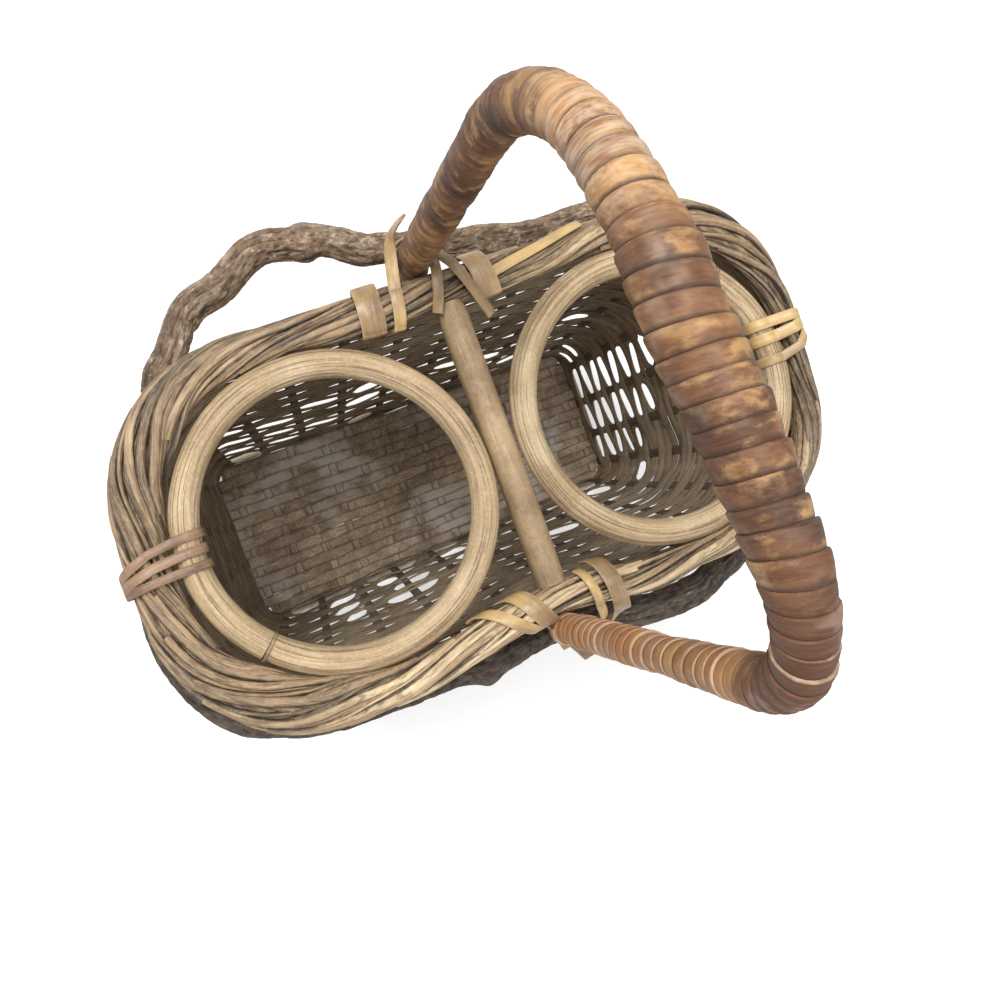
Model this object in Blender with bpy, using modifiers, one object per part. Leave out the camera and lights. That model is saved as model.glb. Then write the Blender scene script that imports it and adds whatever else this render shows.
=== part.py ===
"""Wine basket for two bottles: a woven body and floor on flat stakes, a bundled strand
rim, two cane rings with a divider between them, a bark vine on each long side, and a
pole handle wound with peel and tied to the rim at both feet."""

import math

import bpy
from mathutils import Matrix, Vector

# Clearances
fit_gap = 0.0003
stake_gap = 0.0009
wrap_gap = 0.0005

# Rings and divider
ring_bore = 0.088
cane_width = 0.010
divider_width = 0.010
divider_height = 0.008
seam_angle = math.radians(-138)

# Body
floor_length = 0.206
floor_width = 0.084
floor_thickness = 0.004
floor_corner = 0.012
front_taper = 0.009
wall_thickness = 0.004
wall_band = 0.0074
wall_strip = 0.0062
opening_height = 0.0049
opening_rows = 8
ring_height = 0.209
stake_width = 0.0045
stake_thickness = 0.0012
stake_count = 28

# Rim
core_width = 0.0038
strand_width = 0.0036
strand_count = 6
strand_twists = 5
rim_corner = 0.045
front_waist = 0.0046
waist_reach = 0.045

# Handle
pole_width = 0.0124
peel_thickness = 0.0013
peel_turns = 24
turn_gap = 0.0011
rear_foot_shift = 0.0072
rear_shoulder = 0.075
rear_shoulder_shift = 0.0046
rear_rise = 0.147
rear_bend = 0.061
grip_place = 0.009
grip_shift = 0.0006
grip_rise = 0.1552
grip_bend = 0.060
front_shoulder = 0.0612
front_shoulder_shift = 0.0015
front_rise = 0.1635
front_bend = 0.028
foot_bend = 0.060
foot_depth = 0.070
foot_gap = 0.0006
wrap_start = 0.0065

# Vines
vine_width = 0.012
vine_drop = 0.025
rear_bow = 0.0285
rear_bow_place = 0.047
rear_lift = 0.006
rear_lift_place = 0.070
rear_left_end = 0.103
rear_right_end = 0.106
front_bow = 0.0095
front_bow_place = 0.057
front_lift = 0.003
front_lift_place = 0.120
front_hug_place = 0.070
front_left_end = 0.172
front_right_end = 0.088

# Lashings
lash_thickness = 0.001
foot_strap_width = 0.006
foot_strap_reach = 0.013
foot_strap_gap = 0.0007
foot_strap_clearance = 0.0035
foot_strap_inner = math.radians(195)
foot_strap_outer = math.radians(62)
foot_strap_flank = math.radians(15)
side_strap_width = 0.009
side_strap_step = 0.011
side_strap_lean = 0.003
end_strap_width = 0.006
end_strap_place = 0.0045

# Values that follow from the sizes above
ring_radius = (ring_bore + cane_width) / 2
ring_reach = ring_bore / 2 + cane_width
ring_centre = divider_width / 2 + fit_gap + ring_reach
strand_orbit = core_width / 2 + fit_gap + strand_width / 2
bundle_radius = strand_orbit + strand_width / 2
rim_half_length = ring_centre + ring_reach + fit_gap + bundle_radius
rim_half_width = ring_reach + fit_gap + bundle_radius
wall_top = ring_height - bundle_radius - lash_thickness - 2 * fit_gap
wall_foot = floor_thickness + fit_gap
floor_half_length = floor_length / 2 + wall_thickness
floor_half_width = floor_width / 2 + wall_thickness
pole_radius = pole_width / 2
vine_radius = vine_width / 2
strap_orbit = bundle_radius + fit_gap

# Numbers of points
floor_points = 64
corner_steps = 3
rim_points = 48
ring_points = 40
bend_points = 9
pole_points = 56
turn_points = 18
turn_columns = 3
vine_points = 27
strap_points = 16
step_share = 0.001

# Shares of the pole's thickness, from the rear foot over to the front foot
pole_shares = (0.78, 0.78, 0.76, 0.76, 0.79, 1.0, 0.88, 0.73, 0.62, 0.68, 0.63, 0.63)

# Shares of a vine's thickness along it, thicker at the knots
rear_vine_shares = (0.86, 0.92, 1.0, 0.95, 0.93, 1.0, 0.9, 0.86, 0.84, 0.8)
front_vine_shares = (0.8, 0.86, 0.9, 1.0, 0.96, 0.9, 0.98, 0.94, 0.9, 0.82)


def clear_scene():
    for item in list(bpy.data.objects):
        bpy.data.objects.remove(item, do_unlink=True)


def new_collection(name):
    collection = bpy.data.collections.new(name)
    bpy.context.scene.collection.children.link(collection)
    return collection


def material(name, colour, roughness):
    made = bpy.data.materials.new(name)
    made.use_nodes = True
    shader = made.node_tree.nodes["Principled BSDF"]
    shader.inputs["Base Color"].default_value = (*colour, 1)
    shader.inputs["Roughness"].default_value = roughness
    shader.inputs["Metallic"].default_value = 0
    return made


def add_object(name, data, colour, parent):
    made = bpy.data.objects.new(name, data)
    data.materials.append(colour)
    basket.objects.link(made)
    made.parent = parent
    return made


def shade(mesh):
    mesh.shade_smooth()
    mesh.set_sharp_from_angle(angle=math.radians(40))


def quarter_length(half_length, half_width, corner):
    """A quarter of the way round a rounded rectangle."""
    return half_length + half_width - 2 * corner + corner * math.pi / 2


def outline(half_length, half_width, corner, share):
    """A point of a rounded rectangle and its outward direction, a share of the way
    round from the middle of its +X end."""
    flat_x = half_length - corner
    flat_y = half_width - corner
    arc = corner * math.pi / 2
    quarter = quarter_length(half_length, half_width, corner)
    turns, along = divmod(share % 1 * 4 * quarter, quarter)
    backwards = int(turns) % 2 == 1
    if backwards:
        along = quarter - along
    if along < flat_y:
        x, y, nx, ny = half_length, along, 1, 0
    elif along < flat_y + arc:
        angle = (along - flat_y) / corner
        nx, ny = math.cos(angle), math.sin(angle)
        x, y = flat_x + corner * nx, flat_y + corner * ny
    else:
        x, y, nx, ny = flat_x - (along - flat_y - arc), half_width, 0, 1
    side_x = -1 if turns in (1, 2) else 1
    side_y = -1 if turns >= 2 else 1
    return Vector((side_x * x, side_y * y, 0)), Vector((side_x * nx, side_y * ny, 0))


def waist(x, y):
    """How far the front side is drawn in towards the divider at this place."""
    if y >= 0 or abs(x) >= waist_reach:
        return 0
    return front_waist * math.cos(math.pi / 2 * x / waist_reach) ** 2


def taper(x, y):
    """How far the front side of the floor is drawn in at this place, more to the right."""
    if y >= 0:
        return 0
    return front_taper * (1 + x / floor_half_length) / 2 * -y / floor_half_width


def rim_point(share):
    """A point of the rim's centre line."""
    point, _ = outline(rim_half_length, rim_half_width, rim_corner, share)
    point.y += waist(point.x, point.y)
    point.z = ring_height
    return point


def rim_frame(share):
    """A point of the rim's centre line, the way on along it and the way outward."""
    along = rim_point(share + step_share) - rim_point(share - step_share)
    along.normalize()
    return rim_point(share), along, along.cross(Vector((0, 0, 1)))


def wall_sizes(level):
    """Half length, half width and corner of the wall's outer face at a share of its
    height."""
    foot = (floor_half_length, floor_half_width, floor_corner)
    top = (rim_half_length, rim_half_width, rim_corner)
    return [low + (high + wall_thickness / 2 - low) * level for low, high in zip(foot, top)]


def wall_level(height):
    return (height - wall_foot) / (wall_top - wall_foot)


def wall_frame(share, level, inset):
    """A point of the wall at a share of its height, set in from its outer face. Straight
    lines from foot to top stay straight where the front is drawn in."""
    foot, _ = outline(*wall_sizes(0), share)
    top, _ = outline(*wall_sizes(1), share)
    point, outward = outline(*wall_sizes(level), share)
    point.y += taper(foot.x, foot.y) * (1 - level) + waist(top.x, top.y) * level
    point -= outward * inset
    point.z = wall_foot + (wall_top - wall_foot) * level
    return point, outward


def wall_face(side, height):
    """How far the wall's outer face is from the middle plane beside the pole."""
    level = wall_level(height)
    drawn_in = taper(0, side * floor_half_width) * (1 - level) + waist(0, side) * level
    return wall_sizes(level)[1] - drawn_in


def long_side_share(distance, side, half_length, half_width, corner):
    """The share of an outline at a distance along it from the middle of a long side,
    counted towards +X."""
    quarter = quarter_length(half_length, half_width, corner)
    part = (quarter - distance) / (4 * quarter)
    return part if side > 0 else 1 - part


def mesh_of(points, faces, name):
    mesh = bpy.data.meshes.new(name)
    mesh.from_pydata(points, [], faces)
    mesh.update()
    shade(mesh)
    return mesh


def solidify(item, thickness, offset):
    modifier = item.modifiers.new("thickness", "SOLIDIFY")
    modifier.thickness = thickness
    modifier.offset = offset


def tube(name, points, radius, colour, parent, closed=False, sides=2, shares=()):
    """A rod along a list of points, round all over, with closed ends."""
    curve = bpy.data.curves.new(name, "CURVE")
    curve.dimensions = "3D"
    curve.bevel_depth = radius
    curve.bevel_resolution = sides
    curve.use_fill_caps = not closed
    spline = curve.splines.new("POLY")
    spline.points.add(len(points) - 1)
    spline.use_cyclic_u = closed
    for number, point in enumerate(points):
        spline.points[number].co = (*point, 1)
        if shares:
            spline.points[number].radius = shares[number]
    spline.use_smooth = True
    return add_object(name, curve, colour, parent)


def ribbon(name, places, width, thickness, colour, parent, closed=False, across=1):
    """A flat strip through places, each a point, its width direction and its outward
    direction. The strip lies on the places and grows outward."""
    points = []
    for point, wide, _ in places:
        for column in range(across + 1):
            points.append(point + wide * width * (column / across - 1 / 2))
    faces = []
    rows = len(places)
    for row in range(rows if closed else rows - 1):
        start = row * (across + 1)
        ahead = (row + 1) % rows * (across + 1)
        for column in range(across):
            faces.append((start + column, start + column + 1, ahead + column + 1, ahead + column))
    mesh = mesh_of(points, faces, name)
    first, wide, outward = places[0]
    ahead = places[1][0] - first
    if wide.cross(ahead).dot(outward) < 0:
        mesh.flip_normals()
    item = add_object(name, mesh, colour, parent)
    solidify(item, thickness, 1)
    return item


def make_floor(parent):
    """The flat woven floor, which the basket stands on."""
    curve = bpy.data.curves.new("woven_floor", "CURVE")
    curve.dimensions = "2D"
    curve.fill_mode = "BOTH"
    curve.extrude = floor_thickness / 2
    spline = curve.splines.new("POLY")
    spline.points.add(floor_points - 1)
    spline.use_cyclic_u = True
    for number in range(floor_points):
        share = number / floor_points
        point, _ = outline(floor_half_length, floor_half_width, floor_corner, share)
        point.y += taper(point.x, point.y)
        spline.points[number].co = (*point, 1)
    item = add_object("woven_floor", curve, weave_dark, parent)
    item.location.z = floor_thickness / 2
    return item


def wall_columns():
    """Shares round the wall where its mesh has an edge, each with whether the stretch
    beyond it has openings. A bay that turns a corner of the floor has more edges."""
    half = wall_strip / (8 * quarter_length(*wall_sizes(1)))
    bay = 1 / stake_count - 2 * half
    columns = []
    for number in range(stake_count):
        middle = (number + 1 / 2) / stake_count
        columns.append((middle - half, False))
        _, outward = outline(*wall_sizes(0), middle + half + bay / 2)
        steps = corner_steps if 0 < abs(outward.x) < 1 else 1
        columns += [(middle + half + bay * step / steps, True) for step in range(steps)]
    return columns


def wall_rows():
    """Shares of the wall's height of both edges of each woven band. The highest band
    reaches to the rim."""
    height = wall_top - wall_foot
    pitch = wall_band + opening_height
    rows = [pitch * number + edge for number in range(opening_rows + 1) for edge in (0, wall_band)]
    rows[-1] = height
    return [row / height for row in rows]


def make_wall(parent):
    """The flared woven wall, standing on the floor: bands and upright strips with a row
    of openings between each two low bands, an opening in each bay between two stakes."""
    columns = wall_columns()
    rows = wall_rows()
    points = [wall_frame(share, level, 0)[0] for level in rows for share, _ in columns]
    faces = []
    for row in range(len(rows) - 1):
        low = row * len(columns)
        high = low + len(columns)
        for number in range(len(columns)):
            if row % 2 == 1 and columns[number][1]:
                continue
            after = (number + 1) % len(columns)
            faces.append((low + number, low + after, high + after, high + number))
    item = add_object("woven_wall", mesh_of(points, faces, "woven_wall"), weave_grey, parent)
    solidify(item, wall_thickness, -1)
    return item


def make_stake(number, parent):
    """One flat upright stake against the inside of the wall."""
    share = (number + 1 / 2) / stake_count
    inset = wall_thickness + stake_gap + stake_thickness / 2
    low, outward_low = wall_frame(share, 0, inset)
    high, outward_high = wall_frame(share, 1, inset)
    outward = outward_low + outward_high
    upward = (high - low).normalized()
    along = upward.cross(outward).normalized()
    face = along.cross(upward).normalized()
    bpy.ops.mesh.primitive_cube_add(size=1)
    item = bpy.context.active_object
    name = f"stake_{number + 1:02d}"
    item.name = name
    item.data.name = name
    length = (high - low).length - 2 * fit_gap
    item.data.transform(Matrix.Diagonal((stake_width, stake_thickness, length, 1)))
    turn = Matrix((along, face, upward)).transposed().to_4x4()
    item.matrix_world = Matrix.Translation((low + high) / 2) @ turn
    item.data.materials.append(stake_brown)
    for collection in list(item.users_collection):
        collection.objects.unlink(item)
    basket.objects.link(item)
    item.parent = parent
    return item


def make_rim_core(parent):
    """The middle strand of the rim's bundle."""
    points = [rim_point(number / rim_points) for number in range(rim_points)]
    tube("rim_core", points, core_width / 2, rim_tan, parent, closed=True, sides=1)


def make_rim_strand(number, parent):
    """One outer strand of the rim, winding slowly round the middle one."""
    points = []
    for step in range(rim_points):
        share = step / rim_points
        centre, _, outward = rim_frame(share)
        angle = 2 * math.pi * (strand_twists * share + number / strand_count)
        reach = outward * math.cos(angle) + Vector((0, 0, 1)) * math.sin(angle)
        points.append(centre + reach * strand_orbit)
    name = f"rim_strand_{number + 1}"
    tube(name, points, strand_width / 2, rim_straw, parent, closed=True, sides=1)


def make_ring(name, side, parent):
    """One cane ring, bent round until its two cut ends meet."""
    centre = Vector((side * ring_centre, 0, ring_height))
    opening = fit_gap / ring_radius
    start = seam_angle if side < 0 else seam_angle + math.pi
    points = []
    for number in range(ring_points + 1):
        angle = start + opening / 2 + (2 * math.pi - opening) * number / ring_points
        points.append(ring_radius * Vector((math.cos(angle), math.sin(angle), 0)))
    item = tube(name, points, cane_width / 2, cane_pale, parent, sides=3)
    item.location = centre
    return item


def make_divider(parent):
    """The cane between the rings, rounded above and flat below."""
    curve = bpy.data.curves.new("divider_rod", "CURVE")
    curve.dimensions = "2D"
    curve.fill_mode = "BOTH"
    rear_end = rim_half_width - bundle_radius - fit_gap
    front_end = rear_end - front_waist
    curve.extrude = (rear_end + front_end) / 2
    half = divider_width / 2
    profile = [(-half, -divider_height / 2), (half, -divider_height / 2)]
    for number in range(bend_points):
        angle = math.pi * number / (bend_points - 1)
        profile.append((half * math.cos(angle), divider_height / 2 * math.sin(angle)))
    spline = curve.splines.new("POLY")
    spline.points.add(len(profile) - 1)
    spline.use_cyclic_u = True
    for number, place in enumerate(profile):
        spline.points[number].co = (*place, 0, 1)
    item = add_object("divider_rod", curve, cane_pink, parent)
    item.location = (0, (rear_end - front_end) / 2, ring_height)
    item.rotation_euler.x = math.pi / 2
    return item


def foot_radius(side):
    return pole_radius * (pole_shares[0] if side > 0 else pole_shares[-1])


def foot_x(side):
    """How far along the basket the pole's foot is from the middle."""
    return -rear_foot_shift if side > 0 else 0


def foot_place(side):
    """The pole's centre beside the rim, and at its hidden lower end on the wall."""
    radius = foot_radius(side)
    beside = rim_half_width - waist(0, side) + bundle_radius + fit_gap + radius
    end_height = ring_height - foot_depth
    below = wall_face(side, end_height) + foot_gap + radius
    slope = (beside - below) / foot_depth
    return beside, below + fit_gap * slope, end_height


def pole_route():
    """The corners of the pole's centre line, from the rear foot to the front foot,
    with the radius that each is bent to."""
    rear_side, rear_end, low = foot_place(1)
    front_side, front_end, _ = foot_place(-1)
    rear_x = foot_x(1)
    return [
        (Vector((rear_x, rear_end, low)), 0),
        (Vector((rear_x, rear_side, ring_height)), foot_bend),
        (Vector((rear_shoulder_shift, rear_shoulder, ring_height + rear_rise)), rear_bend),
        (Vector((-grip_shift, grip_place, ring_height + grip_rise)), grip_bend),
        (Vector((front_shoulder_shift, -front_shoulder, ring_height + front_rise)), front_bend),
        (Vector((0, -front_side, ring_height)), foot_bend),
        (Vector((0, -front_end, low)), 0),
    ]


def bent_line(corners, steps):
    """Points along straight runs joined by arcs, each arc in this many steps."""
    points = [corners[0][0]]
    for number in range(1, len(corners) - 1):
        corner, radius = corners[number]
        back = (corners[number - 1][0] - corner).normalized()
        ahead = (corners[number + 1][0] - corner).normalized()
        turn = math.pi - back.angle(ahead)
        middle = (back + ahead).normalized()
        centre = corner + middle * radius / math.cos(turn / 2)
        first = corner + back * radius * math.tan(turn / 2) - centre
        axis = first.cross(middle * -1)
        for step in range(steps + 1):
            points.append(centre + Matrix.Rotation(turn * step / steps, 3, axis) @ first)
    points.append(corners[-1][0])
    return points


def make_pole(parent):
    """The bent pole under the peel, with both feet outside the wall."""
    line = bent_line(pole_route(), bend_points * 3)
    along = walk(line)
    parts = [number / (pole_points - 1) for number in range(pole_points)]
    points = [place_along(line, along, part * along[-1])[0] for part in parts]
    sizes = [read_shares(pole_shares, part) for part in parts]
    tube("handle_pole", points, pole_radius, pole_brown, parent, sides=2, shares=sizes)


def read_shares(shares, part):
    """The value between two neighbours of a table of shares."""
    spot = min(max(part, 0), 1) * (len(shares) - 1)
    before = min(int(spot), len(shares) - 2)
    return shares[before] + (shares[before + 1] - shares[before]) * (spot - before)


def walk(points):
    """The distance of each point along the line."""
    along = [0]
    for number in range(1, len(points)):
        along.append(along[-1] + (points[number] - points[number - 1]).length)
    return along


def place_along(points, along, distance):
    """A point of the line and its direction, at a distance along it."""
    number = 1
    while number < len(points) - 1 and along[number] < distance:
        number += 1
    before, after = points[number - 1], points[number]
    part = (distance - along[number - 1]) / (along[number] - along[number - 1])
    return before.lerp(after, part), (after - before).normalized()


def make_wrap(parent):
    """The peel wound round the pole from foot to foot, as one strip. It prints the
    least gap between one turn and the next."""
    line = bent_line(pole_route(), bend_points * 3)
    along = walk(line)
    level = ring_height + wrap_start
    ends = []
    for number in range(1, len(line)):
        low, high = line[number - 1].z, line[number].z
        if (low - level) * (high - level) < 0:
            part = (level - low) / (high - low)
            ends.append(along[number - 1] + (along[number] - along[number - 1]) * part)
    start, finish = ends
    pitch = (finish - start) / (peel_turns + 1)
    width = pitch - turn_gap
    count = peel_turns * turn_points + 1
    points = []
    edges = []
    for step in range(count):
        angle = 2 * math.pi * step / turn_points
        middle = start + pitch / 2 + pitch * step / turn_points
        row = []
        for column in range(turn_columns):
            offset = width * (column / (turn_columns - 1) - 1 / 2)
            centre, ahead = place_along(line, along, middle + offset)
            size = read_shares(pole_shares, (middle + offset) / along[-1])
            radius = pole_radius * size + wrap_gap
            sideways = ahead.cross(Vector((1, 0, 0))).normalized()
            reach = sideways.cross(ahead) * math.cos(angle) + sideways * math.sin(angle)
            row.append(centre + reach * radius)
        points.extend(row)
        edges.append((row[0], row[-1]))
    faces = []
    for step in range(count - 1):
        for column in range(turn_columns - 1):
            low = step * turn_columns + column
            faces.append((low, low + turn_columns, low + turn_columns + 1, low + 1))
    item = add_object("handle_wrap", mesh_of(points, faces, "handle_wrap"), peel_honey, parent)
    solidify(item, peel_thickness, 1)
    gaps = [(edges[step + turn_points][0] - edges[step][1]).length for step in range(count - turn_points)]
    print(f"handle wrap: {peel_turns} turns, least gap between turns {min(gaps) * 1000:.2f} mm")


def blend(stations, x):
    """A smooth value between stations, each a place and a value."""
    for (before, low), (after, high) in zip(stations, stations[1:]):
        if before <= x <= after:
            part = (1 - math.cos(math.pi * (x - before) / (after - before))) / 2
            return low + (high - low) * part
    return stations[0][1] if x < stations[0][0] else stations[-1][1]


def make_vine(name, side, stations, shares, parent):
    """One bark vine along a long side, against the wall at its ends, bowed out
    between them and passing outside the pole's foot."""
    level = wall_level(ring_height - vine_drop)
    first, last = stations[0][0], stations[-1][0]
    points = []
    sizes = []
    for number in range(vine_points):
        part = number / (vine_points - 1)
        distance = first + (last - first) * part
        size = read_shares(shares, part)
        reach = fit_gap + vine_radius * size + blend(stations, distance)
        share = long_side_share(distance, side, *wall_sizes(level))
        points.append(wall_frame(share, level, -reach)[0])
        sizes.append(size)
    tube(name, points, vine_radius, vine_bark, parent, sides=3, shares=sizes)


def vine_past_foot(side):
    """How much farther out than the wall a vine runs where it passes the pole."""
    beside, below, end_height = foot_place(side)
    height = ring_height - vine_drop
    part = (ring_height - height) / (ring_height - end_height)
    pole = beside + (below - beside) * part
    return pole + foot_radius(side) + 2 * fit_gap - wall_face(side, height)


def make_vines(parent):
    rear = [
        (-rear_left_end, 0),
        (-rear_bow_place, rear_bow),
        (foot_x(1), vine_past_foot(1)),
        (rear_lift_place, rear_lift),
        (rear_right_end, 0),
    ]
    make_vine("vine_rear", 1, rear, rear_vine_shares, parent)
    front = [
        (-front_left_end, 0),
        (-front_lift_place, front_lift),
        (-front_hug_place, 0),
        (0, vine_past_foot(-1)),
        (front_bow_place, front_bow),
        (front_right_end, 0),
    ]
    make_vine("vine_front", -1, front, front_vine_shares, parent)


def rim_share_at(x, side):
    """How far round the rim this place on a long side is."""
    return long_side_share(x, side, rim_half_length, rim_half_width, rim_corner)


def make_side_strap(name, x, side, lean, parent):
    """A strip tied once round the rim beside the pole's foot."""
    places = []
    for number in range(strap_points):
        angle = 2 * math.pi * number / strap_points
        centre, along, outward = rim_frame(rim_share_at(x + lean * math.cos(angle), side))
        reach = outward * math.cos(angle) + Vector((0, 0, 1)) * math.sin(angle)
        places.append((centre + reach * strap_orbit, along, reach))
    ribbon(name, places, side_strap_width, lash_thickness, lash_tan, parent, closed=True)


def strap_reach(side):
    """How far from the pole's foot its strap ends, clear of the divider's end."""
    past_divider = divider_width / 2 + foot_strap_clearance + foot_strap_width / 2
    return max(foot_strap_reach, past_divider - foot_x(side))


def make_foot_strap(name, side, parent):
    """A strip over the rim, round the outside of the pole's foot and back under."""
    beside, _, _ = foot_place(side)
    pole_orbit = foot_radius(side) + foot_strap_gap
    along = Vector((1, 0, 0))
    upward = Vector((0, 0, 1))
    outward = Vector((0, side, 0))
    near = pole_orbit + foot_strap_width / 2
    climb = foot_strap_width / 4
    places = []
    steps = strap_points // 2
    for number in range(steps + 1):
        part = number / steps
        angle = foot_strap_inner + (foot_strap_outer - foot_strap_inner) * part
        reach = outward * math.cos(angle) + upward * math.sin(angle)
        sideways = foot_x(side) - foot_strap_reach - (near - foot_strap_reach) * part
        centre, way, _ = rim_frame(rim_share_at(sideways, side))
        places.append((centre + reach * strap_orbit, way * -side, reach))
    for number in range(steps + 1):
        part = number / steps
        angle = math.pi - foot_strap_flank - (math.pi - 2 * foot_strap_flank) * part
        reach = along * math.cos(angle) + outward * math.sin(angle)
        height = climb * (1 - 2 * part)
        middle = along * foot_x(side) + outward * beside + upward * (ring_height + height)
        places.append((middle + reach * pole_orbit, upward, reach))
    for number in range(steps + 1):
        part = number / steps
        angle = -foot_strap_outer + (foot_strap_outer - foot_strap_inner) * part
        reach = outward * math.cos(angle) + upward * math.sin(angle)
        sideways = foot_x(side) + near + (strap_reach(side) - near) * part
        centre, way, _ = rim_frame(rim_share_at(sideways, side))
        places.append((centre + reach * strap_orbit, way * -side, reach))
    ribbon(name, places, foot_strap_width, lash_thickness, lash_tan, parent)


def make_end_strap(name, end, y, parent):
    """A strip tied round the rim and a ring's cane, where they meet at an end."""
    edge = abs(y) + end_strap_width / 2
    pull = ring_radius - math.sqrt(ring_radius**2 - edge**2)
    cane_x = ring_centre + ring_radius - pull
    cane_orbit = cane_width / 2 + fit_gap
    lean = math.asin((strap_orbit - cane_orbit) / (rim_half_length - cane_x))
    places = []
    for number in range(strap_points // 2 + 1):
        angle = -(math.pi / 2 + lean) + (math.pi + 2 * lean) * number / (strap_points // 2)
        reach = Vector((end * math.cos(angle), 0, math.sin(angle)))
        centre = Vector((end * rim_half_length, y, ring_height))
        places.append((centre + reach * strap_orbit, Vector((0, 1, 0)), reach))
    for number in range(strap_points // 2 + 1):
        angle = math.pi / 2 + lean + (math.pi - 2 * lean) * number / (strap_points // 2)
        reach = Vector((end * math.cos(angle), 0, math.sin(angle)))
        centre = Vector((end * cane_x, y, ring_height))
        places.append((centre + reach * cane_orbit, Vector((0, 1, 0)), reach))
    ribbon(name, places, end_strap_width, lash_thickness, lash_yellow, parent, closed=True)


def make_lashings(parent):
    for place, side in (("rear", 1), ("front", -1)):
        make_foot_strap(f"foot_lashing_{place}", side, parent)
        left = foot_x(side) - foot_strap_reach - side_strap_step
        right = foot_x(side) + strap_reach(side) + side_strap_step
        make_side_strap(f"side_lashing_{place}_left", left, side, side_strap_lean, parent)
        make_side_strap(f"side_lashing_{place}_right", right, side, -side_strap_lean, parent)
    for place, end in (("left", -1), ("right", 1)):
        for number, y in ((1, end_strap_place), (2, -end_strap_place)):
            make_end_strap(f"end_lashing_{place}_{number}", end, y, parent)


clear_scene()
basket = new_collection("wine_bottle_basket")
weave_grey = material("weave_grey", (0.40, 0.32, 0.23), 0.75)
weave_dark = material("weave_dark", (0.25, 0.18, 0.12), 0.8)
stake_brown = material("stake_brown", (0.20, 0.14, 0.09), 0.75)
rim_straw = material("rim_straw", (0.62, 0.47, 0.27), 0.55)
rim_tan = material("rim_tan", (0.45, 0.31, 0.18), 0.6)
cane_pale = material("cane_pale", (0.66, 0.50, 0.32), 0.5)
cane_pink = material("cane_pink", (0.60, 0.42, 0.28), 0.5)
pole_brown = material("pole_brown", (0.22, 0.13, 0.08), 0.6)
peel_honey = material("peel_honey", (0.50, 0.25, 0.10), 0.35)
vine_bark = material("vine_bark", (0.28, 0.22, 0.17), 0.9)
lash_tan = material("lash_tan", (0.60, 0.38, 0.18), 0.45)
lash_yellow = material("lash_yellow", (0.66, 0.46, 0.20), 0.45)

root = bpy.data.objects.new("basket_origin", None)
basket.objects.link(root)
make_floor(root)
make_wall(root)
for stake_number in range(stake_count):
    make_stake(stake_number, root)
make_rim_core(root)
for strand_number in range(strand_count):
    make_rim_strand(strand_number, root)
make_ring("bottle_ring_left", -1, root)
make_ring("bottle_ring_right", 1, root)
make_divider(root)
make_pole(root)
make_wrap(root)
make_vines(root)
make_lashings(root)
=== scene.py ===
"""Dresses the wine basket for two bottles: real woven courses round flat stakes, a woven
floor, a loose strand rim, grained cane rings and divider, bark vines, a handle wound
with overlapping turns of peel, and the peel ties that hold it all."""

import math
import random

import bpy
import numpy as np
from mathutils import Matrix, Vector, noise


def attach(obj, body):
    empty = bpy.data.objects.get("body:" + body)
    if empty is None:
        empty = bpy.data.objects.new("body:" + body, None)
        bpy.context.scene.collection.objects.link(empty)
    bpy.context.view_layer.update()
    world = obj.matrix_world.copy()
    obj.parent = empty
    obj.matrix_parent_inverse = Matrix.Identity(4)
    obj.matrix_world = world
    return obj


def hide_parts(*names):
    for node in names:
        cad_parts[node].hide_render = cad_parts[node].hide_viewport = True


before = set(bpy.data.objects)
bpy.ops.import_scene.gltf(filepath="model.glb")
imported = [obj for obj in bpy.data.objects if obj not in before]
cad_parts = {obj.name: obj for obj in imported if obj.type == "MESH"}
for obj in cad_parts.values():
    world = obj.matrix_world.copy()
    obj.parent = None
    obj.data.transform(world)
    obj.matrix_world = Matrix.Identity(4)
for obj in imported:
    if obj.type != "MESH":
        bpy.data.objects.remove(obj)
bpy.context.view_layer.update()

# Sizes shared with the solids
fit_gap = 0.0003
ring_bore = 0.088
cane_width = 0.010
divider_width = 0.010
divider_height = 0.008
seam_angle = math.radians(-138)
floor_length = 0.206
floor_width = 0.084
floor_corner = 0.012
floor_thickness = 0.004
front_taper = 0.009
wall_thickness = 0.004
wall_band = 0.0074
opening_height = 0.0049
ring_height = 0.209
stake_count = 28
bundle_radius = 0.0058
lash_thickness = 0.001
rim_corner = 0.045
front_waist = 0.0046
waist_reach = 0.045
ring_radius = (ring_bore + cane_width) / 2
ring_reach = ring_bore / 2 + cane_width
ring_centre = divider_width / 2 + fit_gap + ring_reach
rim_half_length = ring_centre + ring_reach + fit_gap + bundle_radius
rim_half_width = ring_reach + fit_gap + bundle_radius
floor_half_length = floor_length / 2 + wall_thickness
floor_half_width = floor_width / 2 + wall_thickness
wall_top = ring_height - bundle_radius - lash_thickness - 2 * fit_gap
wall_foot = floor_thickness + fit_gap

# Weave. A weaver's width is half its course's pitch times its cover, so that weavers with
# a cover over 1 overlap.
weave_inset = 0.0031
weave_swing = 0.00055
weaver_thickness = 0.0008
open_cover = 1.38
close_cover = 1.6
close_pitch = 0.0077
open_top = 0.104
bay_steps = 14
weave_drift = 0.0006
weave_wobble = 0.0003
weave_foot = 0.0006
stake_width = 0.0040
stake_thickness = 0.0010

# Canes. The ring's mean width, how much it wanders and its width at the seam are shares
# of the solid's. Its grooves are a share of its radius, and the seam of its round.
ring_steps = 181
cane_share = 0.965
cane_wander = 0.022
seam_step = 0.006
seam_share = 0.965
groove_depth = 0.035
seam_wire_width = 0.0007
seam_wire_thickness = 0.0006
divider_front = -0.0490
divider_rear = 0.0536

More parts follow.
